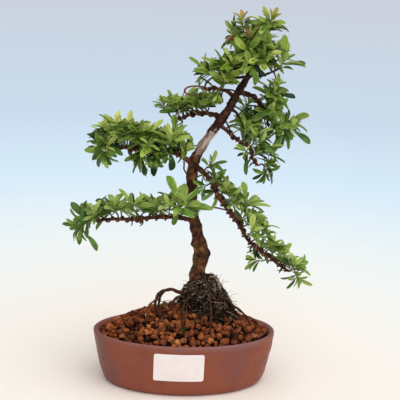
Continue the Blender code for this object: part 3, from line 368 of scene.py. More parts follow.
# The granules lie on honeycombs, each shifted at random, kept off the wall and out of the root ball. A
# layer is a spacing, jitter, margin, least and largest radius, drop below the mound and share filled.
chance = np.random.default_rng(21)
layers = []
for spacing, jitter, margin, low, high, drop, share in GRANULE_LAYERS:
    noise = np.random.default_rng(7 + len(layers))
    row, column = np.meshgrid(np.arange(-32, 33), np.arange(-32, 33), indexing="ij")
    places = np.stack([((column + 0.5 * (row % 2)) * spacing).ravel(), (row * spacing * 0.866).ravel()], 1)
    places = places + noise.uniform(-jitter, jitter, places.shape)
    x, y, half_length, half_width = BALL_ROOM
    ball = np.hypot((places[:, 0] - x) / half_length, (places[:, 1] - y) / half_width)
    places = places[(bed_share(*places.T, margin) < 1) & (ball > 1)]
    places = places[chance.uniform(0, 1, len(places)) < share]
    radii = low + (high - low) * chance.beta(1.6, 2.2, len(places))
    top = soil_height(places[:, 0], places[:, 1]) - drop - 0.35 * radii
    layers.append(np.column_stack([places, top + chance.uniform(-0.4, 0.4, len(places)), radii]))
granules = np.vstack(layers)
count = len(granules)

# Each is a ball cut by eight random planes: along a direction its radius is the least of plane distance
# over cosine, at most 1.08, times a stretch of its own along x, y and z.
body = bmesh.new()
bmesh.ops.create_icosphere(body, subdivisions=2, radius=1.0)
ball = np.array([corner.co for corner in body.verts])
triangles = np.array([[corner.index for corner in face.verts] for face in body.faces])
body.free()
noise = np.random.default_rng(31)
planes = unit(noise.normal(size=(count, 8, 3)))
distance = noise.uniform(0.6, 0.98, (count, 1, 8))
cosine = np.einsum("vc,gfc->gvf", ball, planes)
reach = np.minimum((distance / np.maximum(cosine, 0.05)).min(-1), 1.08)
stretch = noise.uniform((0.85, 0.85, 0.8), (1.35, 1.25, 1.15), (count, 3))
turn = noise.uniform(0, 2 * math.pi, (count, 1))
x, y, z = np.moveaxis(ball * reach[..., None] * stretch[:, None], -1, 0)
shape = np.stack([np.cos(turn) * x - np.sin(turn) * y, np.sin(turn) * x + np.cos(turn) * y, z], -1)
vertices = (granules[:, None, :3] + granules[:, None, 3:] * shape).reshape(-1, 3)
faces = (triangles + (np.arange(count) * len(ball))[:, None, None]).reshape(-1, 3)
tones_and_gap_shade = np.clip(chance.normal(0.48, 0.19, count), 0.05, 0.85)
tones_and_gap_shade = np.where(chance.uniform(0, 1, count) < 0.008, 0.97, tones_and_gap_shade)
damp = 0.5 + 0.5 * waves(granules[:, :3], 45.0, 12)
tones_and_gap_shade = np.where(tones_and_gap_shade < 0.9, tones_and_gap_shade * (0.72 + 0.33 * damp), tones_and_gap_shade)
mossy = np.exp(-(((granules[:, 0] - 2) / 30) ** 2 + ((granules[:, 1] + 20) / 14) ** 2))
mossy = 0.6 * (chance.uniform(0, 1, count) < 0.12 * mossy)
# The bed under the granules gets a tone below the ramp's start, its near black, as painted shade in the
# gaps.
vertices, faces, tones_and_gap_shade = joined([(bed_vertices, bed_faces, (-0.2, 0.0, 0.0, 1.0)), (
    vertices, [faces], np.repeat(each_own(tones_and_gap_shade, mossy, 0, 1), len(ball), axis=0))])
soil = put("clay_granules", vertices, faces, fired_clay, {"tone": tones_and_gap_shade}, sharp=28)
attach(soil, "root")
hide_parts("soil")

# The root ball is a mat of fine roots and old black soil that held the shape of a smaller pot, set
# high so that it shows. Thicker roots arch out of it and go down into the granules. Roots thinner
# than a millimetre are bark brown where they are old, and grey or pale tan where they dried.
TREE_TURN = -4.9
ROOTS = [
    (1.9, 1.3, [(4, 2, 84), (-5, 0, 86), (-12, -2, 89), (-18, -3, 89), (-25, -3, 86),
                (-28, -3, 80), (-29, -3, 72), (-29, -3, 60)]),
    (1.4, 1.1, [(-20, -3, 88.5), (-24, -1, 83), (-25, 0, 76), (-25, 0, 62)]),
    (1.0, 0.7, [(-27.5, -4, 81), (-31, -8, 78), (-34, -11, 76), (-36, -15, 72), (-36, -19, 66),
                (-36, -20, 56)]),
    (1.5, 1.1, [(4, 2, 80), (-6, -3, 83), (-12, -6, 79), (-17, -7, 72), (-20, -7, 62)]),
    (1.1, 0.8, [(8, -2, 90), (-1, -14, 81), (-2, -21, 72), (-2, -26, 65), (-2, -30, 55)]),
    (1.1, 0.8, [(22, -8, 88), (24, -18, 77), (24, -23, 70), (24, -28, 64), (24, -32, 55)]),
    (1.3, 0.9, [(36, 4, 82), (45, -1, 76), (52, -3, 71), (59, -5, 65), (64, -6, 55)]),
    (1.3, 0.9, [(22, 18, 86), (26, 28, 76), (29, 34, 66), (30, 37, 55)]),
]
BARE_ROOT = [(22, -4, 104), (26, -2, 104.5), (29.5, -2, 100), (31.8, -2, 93), (33, -2, 89)]
BALL = [(103.5, 21.0, 3.5), (100.0, 18.3, 9.5), (95.0, 16.8, 13.5), (86.0, 17.0, 19.5),
        (78.0, 18.5, 23.7), (68.0, 21.0, 26.3), (55.0, 21.0, 26.0), (36.0, 19.0, 21.0)]
BALL_DEPTH, BALL_Y = 0.86, 6.0
BALL_MIDDLE = (17.0, BALL_Y, 70.0)
BALL_SIDES, BALL_ROWS, ROOT_SIDES, FIBRE_SIDES = 150, 84, 12, 4
FIBRES, CHIPS, HAIRS, SCRAPS, SPROUTS = 1000, 1500, 70, 34, 26


def turned(points):
    """Turns points from the tree's front frame into the pot's frame."""
    cos, sin = math.cos(math.radians(TREE_TURN)), math.sin(math.radians(TREE_TURN))
    x, y, z = np.moveaxis(np.array(points, float), -1, 0)
    return np.stack([cos * x - sin * y, sin * x + cos * y, z], -1)


def smooth_path(points, step):
    """Reads points about one step apart from a Catmull-Rom curve through the given rows."""
    rows = np.array(points, float)
    ends = np.vstack([2 * rows[0] - rows[1], rows, 2 * rows[-1] - rows[-2]])
    t = np.linspace(0, 1, 24, endpoint=False)[:, None]
    pieces = [0.5 * (2 * b + (c - a) * t + (2 * a - 5 * b + 4 * c - d) * t ** 2
                     + (3 * b - 3 * c + d - a) * t ** 3)
              for a, b, c, d in zip(ends, ends[1:], ends[2:], ends[3:])]
    dense = np.vstack(pieces + [rows[-1:]])
    travel = np.linalg.norm(np.diff(dense[:, :3], axis=0), axis=1)
    length = np.concatenate([[0], np.cumsum(travel)])
    places = np.linspace(0, length[-1], max(2, int(round(length[-1] / step)) + 1))
    return np.stack([np.interp(places, length, column) for column in dense.T], axis=1)


def frames_along(paths, guide=(0.0, 0.0, 1.0)):
    """Tangent and two side directions at each point of paths (..., points, 3), carried along without
    twist from a first side that is square to a guide."""
    tangents = unit(np.gradient(paths, axis=-2))
    side = unit(np.cross(tangents[..., 0, :], guide))
    sides = []
    for tangent in np.moveaxis(tangents, -2, 0):
        side = unit(side - tangent * (side * tangent).sum(-1, keepdims=True))
        sides.append(side)
    sides = np.stack(sides, -2)
    return tangents, sides, np.cross(tangents, sides)


def bars(paths, radii, sides):
    """Many round bars at once, paths (bars, points, 3) and radii (bars, points): each vertex is its
    point plus radius times (cos a side + sin a up), and both ends close in a point."""
    rise = np.abs(unit(paths[:, 1] - paths[:, 0])[:, 2:])
    _, side, up = frames_along(paths, np.where(rise < 0.8, (0.0, 0.0, 1.0), (1.0, 0.0, 0.0)))
    a = np.linspace(0, 2 * math.pi, sides, endpoint=False)[:, None]
    radii = np.broadcast_to(radii, paths.shape[:2])[:, :, None, None]
    rings = paths[:, :, None] + radii * (np.cos(a) * side[:, :, None] + np.sin(a) * up[:, :, None])
    one, faces = skin(rings[0])
    tips = np.stack([paths[:, 0], paths[:, -1]], 1)
    vertices = np.concatenate([rings.reshape(len(paths), -1, 3), tips], 1)
    start = (np.arange(len(paths)) * len(one))[:, None, None]
    return vertices.reshape(-1, 3), [(group + start).reshape(-1, group.shape[1]) for group in faces]


def strew(parts, paths, radii, sides, *channels):
    """Adds bars to a piece's parts, each bar in a colour of its own."""
    vertices, faces = bars(paths, radii, sides)
    colours = np.broadcast_to(each_own(*channels), (len(paths), 4))
    parts.append((vertices, faces, np.repeat(colours, len(vertices) // len(paths), axis=0)))


def ball_surface(angle, z):
    """The root ball's skin: at each height an oval round a shifting centre, with shallow ridges."""
    table = np.array(BALL)[::-1]
    centre = np.interp(z, table[:, 0], table[:, 1])
    reach = np.interp(z, table[:, 0], table[:, 2]) * (1 + 0.05 * np.sin(5 * angle + z / 7)
                                                      + 0.035 * np.sin(9 * angle - z / 5))
    return turned(np.stack([centre + reach * np.cos(angle),
                            BALL_Y + BALL_DEPTH * reach * np.sin(angle), z], -1))


def out_of_ball(points):
    """The way out of the root ball at each point, mostly sideways."""
    return unit(points - turned(BALL_MIDDLE)) * (1, 1, 0.3)


def wobble(points, size, depth, seed):
    """Shifts points along x, y and z by waves."""
    return points + depth * np.stack([waves(points, size, seed + k) for k in range(3)], -1)


root_bark, tree, place = new_material("fine_roots_and_old_soil", 0.9, specular=0.1)
root = add(tree, "Attribute", attribute_name="root", out=None)
dry, damp, red = add(tree, "SeparateColor", root[0], out=None)
crumbs = add(tree, "TexNoise", place, None, 1 / (2.5 * MM), 6.0)
colour = add(tree, "ValToRGB", shifted(tree, dry, crumbs, 0.14),
             stops=[(0.0, "#0B0907"), (0.22, "#1E1511"), (0.42, "#3B2820"), (0.62, "#64493D"),
                    (0.80, "#8F7868"), (1.0, "#C2B096")])
# Moss has begun to grow in the damp hollows, in flecks of one to three millimetres.
green = add(tree, "TexNoise", place, None, 1 / (3.2 * MM), 3.0)
flecks = add(tree, "MapRange", green, 0.52, 0.66, 0.0, 0.8)
flecks = add(tree, "Math", flecks, damp, operation="MULTIPLY")
sprout = add(tree, "Math", 1.0, root["Alpha"], operation="SUBTRACT")
coat(tree, colour, [(red, "#7A3A22"), (flecks, "#2B3212"), (sprout, "#5F7426")], crumbs, 0.7)

angle, level = np.meshgrid(np.linspace(0, 2 * math.pi, BALL_SIDES, endpoint=False),
                           np.linspace(BALL[-1][0], BALL[0][0], BALL_ROWS), indexing="xy")
mass = ball_surface(angle, level)
lumpy = 1.0 * waves(mass, 9.0, 41) + 0.7 * waves(mass, 4.0, 42) - 1.2
root_parts = [(*skin(mass + out_of_ball(mass) * lumpy[..., None]), (0.02, 1.0, 0.0, 1.0))]
for first, last, points in ROOTS:
    path = wobble(turned(smooth_path(points, 1.2)), 11.0, 0.35, 50)
    radii = np.linspace(first, last, len(path)) * (1 + 0.12 * waves(path, 5.0, 55))
    young = 0.75 if first == 1.0 else 0.15
    strew(root_parts, path[None], radii, ROOT_SIDES, 0.40, 0.0, young, 1.0)
# One old root lies bare and sun-bleached along the ball's right shoulder.
path = turned(smooth_path(BARE_ROOT, 1))
radii = np.interp(np.linspace(0, 1, len(path)), (0, 0.3, 0.75, 1), (0.5, 1.3, 1.5, 0.4))
radii = radii * (1 + 0.1 * waves(path, 4.0, 56))
strew(root_parts, path[None], radii, ROOT_SIDES, 0.80, 0.0, 0.0, 1.0)

# The fibres wander down the ball's skin, and stand a little proud of it in their middle.
chance = np.random.default_rng(77)
t = np.linspace(0, 1, 7)
top = chance.uniform(56, 103, (FIBRES, 1))
length = chance.uniform(5, 16, (FIBRES, 1))
heading = chance.normal(0.1, 0.7, (FIBRES, 1))
spin = chance.uniform(0, 2 * math.pi, (FIBRES, 1))
bend = chance.normal(0, 0.5, (FIBRES, 2))
wander = 0.5 * bend[:, :1] * t ** 2 + 0.07 * np.sin(2 * math.pi * (1.3 * t + bend[:, 1:]))
girth = np.interp(top, *np.array(BALL)[::-1][:, [0, 2]].T)
fibres = ball_surface(spin + (heading * t + wander) * length / np.maximum(girth, 8),
                      np.clip(top - length * t * np.cos(np.clip(heading, -1.3, 1.3)), 50, 102.4))
proud = chance.uniform(0.4, 2.4, (FIBRES, 1)) * np.sin(math.pi * t) - chance.uniform(0, 0.8, (FIBRES, 1))
fibres = fibres + out_of_ball(fibres) * proud[..., None]
radii = chance.uniform(0.2, 0.65, (FIBRES, 1)) * (1 - 0.45 * t)
shades = np.clip(chance.normal(0.33, 0.25, FIBRES) + 0.007 * (top[:, 0] - 84), 0.03, 0.90)
strew(root_parts, fibres, radii, FIBRE_SIDES, shades, 0.3, 0, 1)

# Broken root ends and crumbs of bark and soil fill the mat, each a chip of a few millimetres.
middle = ball_surface(chance.uniform(0, 2 * math.pi, (CHIPS, 1)), chance.uniform(58, 103, (CHIPS, 1)))
along = unit(chance.normal(0, 1, (CHIPS, 1, 3))) * chance.uniform(0.8, 3.0, (CHIPS, 1, 1))
chips = middle + along * np.array([-1.0, 0.1, 1.0])[:, None] + chance.normal(0, 0.35, (CHIPS, 3, 3))
radii = chance.uniform(0.2, 0.65, (CHIPS, 1)) * np.array([0.7, 1.0, 0.5])
height = middle[:, 0, 2]
shades = np.clip(chance.normal(0.38, 0.30, CHIPS) + 0.007 * (height - 84), 0.02, 0.98)
growing = chance.uniform(0, 1, CHIPS) < 0.05 + 0.1 * (height < 80)
strew(root_parts, chips, radii, FIBRE_SIDES, shades, 0.6, 0, 1 - 0.7 * growing)

# Dry hair roots stand off the ball, most on the side of the falling branch, and sag at their tips.
t = np.linspace(0, 1, 8)
start = ball_surface(np.where(np.arange(HAIRS)[:, None] % 3, chance.normal(-0.3, 0.8, (HAIRS, 1)),
                              chance.normal(3.4, 0.6, (HAIRS, 1))), chance.uniform(66, 99, (HAIRS, 1)))
away = unit(start - turned((17.0, BALL_Y, 76.0)) + chance.normal(0, 6, (HAIRS, 1, 3)))
reach = chance.uniform(5, 17, (HAIRS, 1)) * t
hairs = start + away * reach[..., None]
hairs[..., 2] += 0.18 * reach - 0.045 * reach ** 2 * chance.uniform(0.4, 1.2, (HAIRS, 1))
hairs = wobble(hairs, 6.0, 0.4, 60)
hairs[..., 2] = np.maximum(hairs[..., 2], soil_height(hairs[..., 0], hairs[..., 1]) + 1.0)
strew(root_parts, hairs, 0.17 - 0.07 * t, FIBRE_SIDES, chance.uniform(0.3, 0.95, HAIRS), 0, 0, 1)

# Scraps of old root lie about on the granules, most of them on the right, and moss sprouts here and
# there between them in threads of 2 to 5 mm.
t = np.linspace(-0.5, 0.5, 7)
where = np.where(np.arange(SCRAPS)[:, None] % 3, chance.normal((50, -6), (14, 20), (SCRAPS, 2)),
                 chance.normal((-20, -12), (30, 16), (SCRAPS, 2)))
swing = chance.uniform(0, math.pi, SCRAPS)[:, None] + chance.normal(0, 1.2, (SCRAPS, 1)) * t
length = chance.uniform(6, 19, (SCRAPS, 1)) * t
scraps = np.stack([where[:, :1] + length * np.cos(swing), where[:, 1:] + length * np.sin(swing),
                   0 * length], -1)
scraps /= np.maximum(np.hypot(scraps[..., :1] / 76, scraps[..., 1:2] / 42), 1.0)
scraps[..., 2] = soil_height(scraps[..., 0], scraps[..., 1]) + 2.4 + chance.normal(0, 0.7, (SCRAPS, 7))
radii = chance.uniform(0.2, 0.5, (SCRAPS, 1)) * (1 - 0.8 * np.abs(t))
strew(root_parts, scraps, radii, 5, chance.uniform(0.1, 0.7, SCRAPS), 0, 0.2, 1)

t = np.linspace(0, 1, 4)[:, None]
where = np.clip(chance.normal((0, -22), (28, 8), (SPROUTS, 2)), (-60, -36), (60, 0))
lean = chance.normal(0, 0.7, (SPROUTS, 1, 2)) * (t + t ** 2)
length = chance.uniform(2, 5, (SPROUTS, 1, 1))
sprouts = np.concatenate([where[:, None] + length * lean, 0.8 * length * t], -1)
sprouts[..., 2] += (soil_height(where[:, 0], where[:, 1]) + 1.0)[:, None]
strew(root_parts, sprouts, 0.28 - 0.16 * t[:, 0], FIBRE_SIDES, 0.4, 0.0, 0.0, 0.1)
vertices, faces, colours = joined(root_parts)
roots = put("root_mass", vertices, faces, root_bark, {"root": colours})
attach(roots, "root")
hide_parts("root_ball")

# The trunk and its branches grew as one. The bark is thin: olive brown and flaking below, pale and
# smooth where the trunk leans, dark red-brown above, and rough with old leaf scars on the branches.
TRUNK_STEP, STEP = 11.0, 8.5
TRUNK = [
    (13, 8, 77, 8.6), (10, 8, 99, 7.0), (12, 8, 115, 7.0), (12, 8, 127, 7.0), (9, 8, 140, 5.8),
    (4, 8, 160, 5.0), (2, 8, 177, 4.9), (1, 7, 195, 4.9), (2, 5, 211, 4.9), (6, 4, 222, 4.4),
    (14, 3, 236, 4.0), (26, 1, 255, 4.0), (32, 0, 265, 3.7), (39, 0, 279, 3.4), (48, 0, 296, 2.6),
    (49, 0, 308, 1.9), (45, 0, 323, 1.4), (42, 0, 334, 1.0),
]
KNOTS = [(16.8, 5.5, 124.5, 6.0, 4.3), (15.4, 0.9, 124.5, 4.2, 0.8), (1.6, 5.4, 190, 5.4, 4.0),
         (5.0, 7.0, 133, 3.2, 2.4), (24.5, 0.6, 252.5, 4.6, 3.4)]
BRANCHES = {
    "lower_left": (2.3, 1.2, True, [(4, 8, 155), (-6, 2, 159), (-22, -4, 161), (-36, -8, 161),
                                    (-51, -10, 159), (-66, -10, 159), (-79, -8, 157), (-90, -5, 155)]),
    "middle_left": (2.4, 1.2, True, [(2, 5, 210), (-5, 0, 216), (-15, -4, 222), (-29, -9, 226),
                                     (-47, -10, 225), (-61, -8, 226), (-73, -6, 228), (-81, -4, 228)]),
    "upper_left": (1.9, 1.1, True, [(25, 1, 253), (18, 4, 258), (9, 8, 258), (-1, 11, 256),
                                    (-11, 14, 252), (-18, 15, 248)]),
    "top_left": (1.8, 1.1, True, [(37, 0, 274), (31, -4, 280), (23, -8, 283), (15, -11, 284),
                                  (8, -12.5, 283.5)]),
    "crown_left": (1.4, 1.0, False, [(48, 0, 294), (38, -4, 294), (28, -7, 294), (18, -9, 297)]),
    "falling": (2.4, 1.2, True, [(3, 5, 209), (10, 0, 205), (18, -5, 199), (24, -9, 188),
                                 (31, -11, 178), (39, -12, 168), (47, -12, 158), (54, -11, 146),
                                 (64, -10, 136), (76, -8, 128), (87, -6, 119), (96, -4, 113)]),
    "middle_right": (1.9, 1.1, True, [(23, 1, 250), (30, -5, 246), (38, -9, 240), (46, -12, 235),
                                      (52, -13, 232), (55, -12, 222), (61, -11, 215)]),
    "upper_right": (2.0, 1.1, True, [(41, 0, 280), (49, 4, 278), (56, 8, 273), (62, 11, 266),
                                     (73, 14, 255), (80, 14, 249)]),
    "back_right": (1.4, 1.0, False, [(33, 0, 265), (39, 7, 260), (44, 12, 252), (49, 15, 247)]),
    "crown_right": (1.4, 0.9, False, [(48, 0, 296), (57, -3, 296), (66, -5, 299), (75, -6, 304)]),
    "crown_top": (1.2, 0.9, False, [(48, 0, 310), (54, 3, 322), (59, 4, 333)]),
    "crown_back": (1.2, 0.9, False, [(49, 0, 302), (53, 9, 310), (57, 15, 317)]),
}
BARE_TWIGS = [
    ("lower_left", 0.62, (-1, -1, -6)), ("lower_left", 0.48, (-2, -1, -7)),
    ("middle_left", 0.16, (-4, -2, -6)), ("upper_left", 0.90, (-5, 1, 7)),
    ("upper_left", 0.84, (-4, 1, -7)), ("falling", 0.20, (10, -2, 9)),
    ("falling", 0.66, (-2, -1, -7)), ("falling", 0.73, (-4, -1, -6)),
    ("falling", 0.92, (-3, -1, -6)), ("upper_right", 0.72, (1, -4, -13)),
    ("upper_right", 0.95, (2, -3, -11)), ("top_left", 0.45, (-1, -2, -6)),
    ("middle_right", 0.90, (-5, 2, -6)), ("crown_right", 0.80, (2, -3, -7)),
]
TWIG_CLEAR, WIRE_PITCH = 4.6, 9.0
TRUNK_SIDES, BRANCH_SIDES, TWIG_SIDES, STUB_SIDES = 36, 14, 8, 6
OLD_BARK_TOP, OLD_BARK_FADE = 222.0, 14.0
PALE_BARK = (219.0, 244.5)
# Heights over which the wood darkens to painted shade inside the crown.
CROWN_SHADE_SPAN = (243.0, 272.0)
STUBS_START, STUB_PITCH = {"trunk": 178.0}, 7.0


def winding_angle(place):
    """The angle of a wire at a place: a full turn a pitch."""
    return 2 * math.pi * place / WIRE_PITCH


class Guide:
    """A branch read at any distance along it: point, radius and frame. Distances are those along the
    CAD branch's straight steps. A fine guide runs along the smooth curve that the steps follow."""

    def __init__(self, name, fine=False):
        trunk = name == "trunk"
        first, last, self.wired, rows = (0, 0, False, TRUNK) if trunk else BRANCHES[name]
        coarse = smooth_path(rows, TRUNK_STEP if trunk else STEP)
        path = turned(coarse[:, :3])
        radii = coarse[:, 3] if trunk else np.linspace(first, last, len(path))
        corners = np.concatenate([[0], np.cumsum(np.linalg.norm(np.diff(path, axis=0), axis=1))])
        self.length = corners[-1]
        self.places = np.linspace(0, self.length, int(self.length / 0.25) + 1)
        self.radii = np.interp(self.places, corners, radii)
        if fine:
            path = turned(smooth_path(np.array(rows, float)[:, :3], 0.5))
            corners = np.linspace(0, self.length, len(path))
        self.path = np.stack([np.interp(self.places, corners, axis) for axis in path.T], axis=1)
        self.tangents, self.sides, self.ups = frames_along(self.path)

    def read(self, place):
        """The point, radius, tangent and two side directions of the row nearest to a place."""
        index = int(np.abs(self.places - place).argmin())
        return (self.path[index], self.radii[index], self.tangents[index], self.sides[index],
                self.ups[index])

    def wound(self, place, offset, lift):
        """A point at that lift above the bark, where a wire that winds once a pitch lies."""
        point, radius, _, side, up = self.read(place)
        angle = winding_angle(place) + offset
        return point + (radius + lift) * (math.cos(angle) * side + math.sin(angle) * up)


def seat_of(guide, place, offset):
    """Where a twig leaves a branch, midway between two turns of its wire, and in which direction."""
    _, _, tangent, side, up = guide.read(place)
    across = unit(offset - tangent * np.dot(offset, tangent))
    if guide.wired:
        angle = math.atan2(np.dot(across, up), np.dot(across, side))
        behind = (angle + math.pi - winding_angle(place) + math.pi) % (2 * math.pi) - math.pi
        place = place + behind / (2 * math.pi) * WIRE_PITCH
    last = guide.length - (5.0 if guide.wired else 1.0)
    if place > last:
        place -= WIRE_PITCH if guide.wired else place - last
    place = max(place, 2.0)
    tangent = guide.read(place)[2]
    return place, unit(offset - tangent * np.dot(offset, tangent))


guides = {name: Guide(name) for name in ["trunk"] + list(BRANCHES)}
smooth_guides = {name: Guide(name, fine=True) for name in guides}


def limb(guide, sides, rough, flare, seed):
    """A round limb: circles along the guide, rough with seeded waves, some of them drawn out along
    the limb as bark ridges, and widened at its foot by flare times an exponential."""
    places = guide.places[::4] if guide.length > 40 else guide.places[::2]
    index = np.abs(guide.places[:, None] - places).argmin(0)
    path, radii = guide.path[index], guide.radii[index]
    a = np.linspace(0, 2 * math.pi, sides, endpoint=False)
    around = (np.cos(a)[None, :, None] * guide.sides[index][:, None]
              + np.sin(a)[None, :, None] * guide.ups[index][:, None])
    strip = np.stack(np.broadcast_arrays(3 * np.cos(a) * radii[:, None], 3 * np.sin(a) * radii[:, None],
                                         0.25 * places[:, None]), -1)
    rings = path[:, None] + radii[:, None, None] * around
    ridges = rough * (0.6 * waves(strip, 7.0, seed) + 0.6 * waves(rings, 5.0, seed + 1)
                      + 0.6 * waves(rings, 2.4, seed + 2))
    swell = radii * (1 + flare * np.exp(-places / 3.5)) + 0.08 * radii * np.sin(places / 2.6 + seed)
    swell *= np.clip((guide.length - places) / radii, 0.05, 1) ** 0.5
    return path[:, None] + (swell[:, None] + ridges)[..., None] * around


bark, tree, place = new_material("thin_firethorn_bark", 0.72, specular=0.2)
kind = add(tree, "SeparateColor", add(tree, "Attribute", attribute_name="bark"), out=None)
flakes = add(tree, "TexNoise", place, None, 1 / (6 * MM), 6.0)
old = add(tree, "ValToRGB", flakes,
          stops=[(0.34, "#1E0D07"), (0.44, "#452614"), (0.56, "#6B401E"), (0.68, "#876634")])
young = add(tree, "ValToRGB", flakes, stops=[(0.34, "#1B0C09"), (0.50, "#432418"), (0.66, "#72442D")])
# Where the trunk leans, the smooth bark is streaked lengthwise, a millimetre or two wide.
leaning = add(tree, "Mapping", place, None, (0.0, 0.5, 0.0), (1.0, 1.0, 5.0), vector_type="TEXTURE")
streaks = add(tree, "TexNoise", leaning, None, 1 / (2.6 * MM), 4.0)
smooth = add(tree, "ValToRGB", streaks, stops=[(0.34, "#69432F"), (0.46, "#9C7F6C"), (0.58, "#C9B5A6")])
# The wood inside the crown is darkened with height towards near black, as painted shade from the leaves
# above it.
crown_shade = add(tree, "SeparateXYZ", place, out="Z")
crown_shade = add(tree, "MapRange", crown_shade, CROWN_SHADE_SPAN[0] * MM, CROWN_SHADE_SPAN[1] * MM, 0.0, 0.55)
# Lenticels are pale corky dots of half a millimetre, drawn at 1.3 mm so that they show.
dots = add(tree, "TexVoronoi", place, None, 1 / (2.6 * MM))
corky = add(tree, "MapRange", dots, 0.22, 0.12, 0.0, 0.3)
coat(tree, young, [(kind[0], old), (kind[1], smooth), (kind[2], "#2A120E"), (crown_shade, "#170A06"),
                   (corky, "#A08468")], flakes, 1.1)

# The trunk's knots are pushed out as bells of their own radius and depth, with a dark scar each.
rings = limb(smooth_guides["trunk"], TRUNK_SIDES, 0.34, 0.0, 80)
vertices, faces = skin(rings)
outward_from = np.vstack([np.repeat(rings.mean(1), rings.shape[1], axis=0), vertices[-2:]])
scars = np.zeros(len(vertices))
for x, y, z, radius, depth in KNOTS:
    distance = np.linalg.norm(vertices - turned((x, y, z)), axis=1)
    push = depth * np.exp(-2 * (distance / radius) ** 2)
    vertices = vertices + unit(vertices - outward_from) * push[:, None]
    scars = np.maximum(scars, np.clip(1.45 - distance / radius, 0, 1))
level = vertices[:, 2]
ragged = level + 2.5 * waves(vertices, 5.0, 84)
pale = np.clip((ragged - PALE_BARK[0]) / 4, 0, 1) * np.clip((PALE_BARK[1] - ragged) / 3, 0, 1)
old_share = np.clip((OLD_BARK_TOP - level) / OLD_BARK_FADE, 0, 1)
wood_parts = [(vertices, faces, each_own(old_share, 0.92 * pale, 0.8 * scars, 1))]
for number, name in enumerate(BRANCHES):
    rings = limb(smooth_guides[name], BRANCH_SIDES, 0.2, 0.7, 90 + 3 * number)
    wood_parts.append((*skin(rings), (0.12, 0.0, 0.0, 1.0)))

bare = []
for branch, share, offset in BARE_TWIGS:
    guide = guides[branch]
    place, direction = seat_of(guide, share * guide.length, turned(offset))
    point = guide.read(place)[0]
    bend = point + direction * max(0.55 * np.linalg.norm(offset), TWIG_CLEAR)
    path = smooth_path([point, bend, point + turned(offset)], 0.7)
    radii = np.interp(np.linspace(0, 1, len(path)), (0, 0.2, 0.6, 1), (1.2, 0.85, 0.7, 0.3))
    bare.append(np.column_stack([path, np.zeros(len(path))])[len(path) // 2::3])
    radii = radii * (1 + 0.15 * waves(path, 3.0, 120))
    strew(wood_parts, path[None], radii, TWIG_SIDES, 0.0, 0.0, 0.35, 1.0)

# Old leaf clusters and thorns leave short stubs all along the branches.
chance = np.random.default_rng(130)
stubs = []
for name, guide in smooth_guides.items():
    for place in np.arange(STUBS_START.get(name, 8.0), guide.length - 3, STUB_PITCH):
        place = place + chance.uniform(-1.5, 1.5)
        point, radius, tangent, side, up = guide.read(place)
        angle = winding_angle(place) + math.pi if guide.wired else chance.uniform(0, 6.3)
        angle += chance.normal(0, 0.5)
        away = math.cos(angle) * side + math.sin(angle) * up + 0.5 * tangent
        length = radius + chance.uniform(0.6, 2.0)
        stubs.append([point, point + away * 0.6 * length, point + away * length + (0, 0, 0.4)])
strew(wood_parts, np.array(stubs), (1.0, 0.75, 0.35), STUB_SIDES, 0.0, 0.0, 0.3, 1.0)
vertices, faces, colours = joined(wood_parts)
wood = put("trunk_and_branch_bark", vertices, faces, bark, {"bark": colours})
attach(wood, "root")
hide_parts("trunk_and_branches")

# The wires are soft annealed aluminium of 1.6 mm, anodised copper brown. Each is wound from one branch
# to the next behind the trunk, so that both branches hold it, and its ends are cut square.
WIRE_RADIUS, WIRE_GAP, WIRE_SIDES = 0.8, 0.15, 10
WIRE_START, WIRE_END = 10.0, 2.0
HOOK_START, HOOK_TURNS = 50.0, 1.25
WIRES = {
    "wire_lower": ("lower_left", [(-3.6, 11.5, 161), (-2, 15.6, 164), (3, 16.4, 167), (9, 13.5, 169),
                                  (13, 8, 170), (19, 1, 171), (26, -5, 172)], "falling"),
    "wire_middle": ("middle_left", [(-6.8, 6, 209), (-6.4, 10.5, 203), (-1.5, 13.8, 197),
                                    (4.5, 13.0, 196), (8.6, 8.4, 199)], "falling"),
    "wire_upper": ("upper_left", [(20.0, 6.5, 259), (25.0, 7.6, 256.5), (29.6, 5.2, 252.5)],
                   "middle_right"),
    "wire_top": ("top_left", [(33.2, 4.4, 281), (38.0, 6.0, 279.5), (43.0, 6.4, 277.0)],
                 "upper_right"),
}
WIRE_LOOP = [(6.5, -9.6, 285.0), (0.0, -11.0, 285.6), (-5.5, -12.0, 284.6), (-9.0, -12.6, 282.0),
             (-7.6, -13.0, 279.2), (-2.5, -13.4, 278.0), (3.0, -14.4, 278.8)]


def facing_place(name, start, towards, offset=0.0):
    """The place within one turn after start where a wound wire lies on the side that faces towards."""
    places = np.arange(start, start + WIRE_PITCH, 0.25)
    points = np.array([guides[name].read(place)[0] for place in places])
    wires = np.array([guides[name].wound(place, offset, 1.0) for place in places])
    return places[(unit(wires - points) * unit(towards - points)).sum(1).argmax()]


def winding(name, start, end, offset=0.0):
    """A helix, twenty steps to a turn, that lies on the bark from start to end."""
    count = int(abs(end - start) / WIRE_PITCH * 20) + 1
    return [smooth_guides[name].wound(place, offset, WIRE_RADIUS + WIRE_GAP)
            for place in np.linspace(start, end, count)]


anodised, tree, place = new_material("copper_brown_anodised_aluminium", 0.34, 0.85)
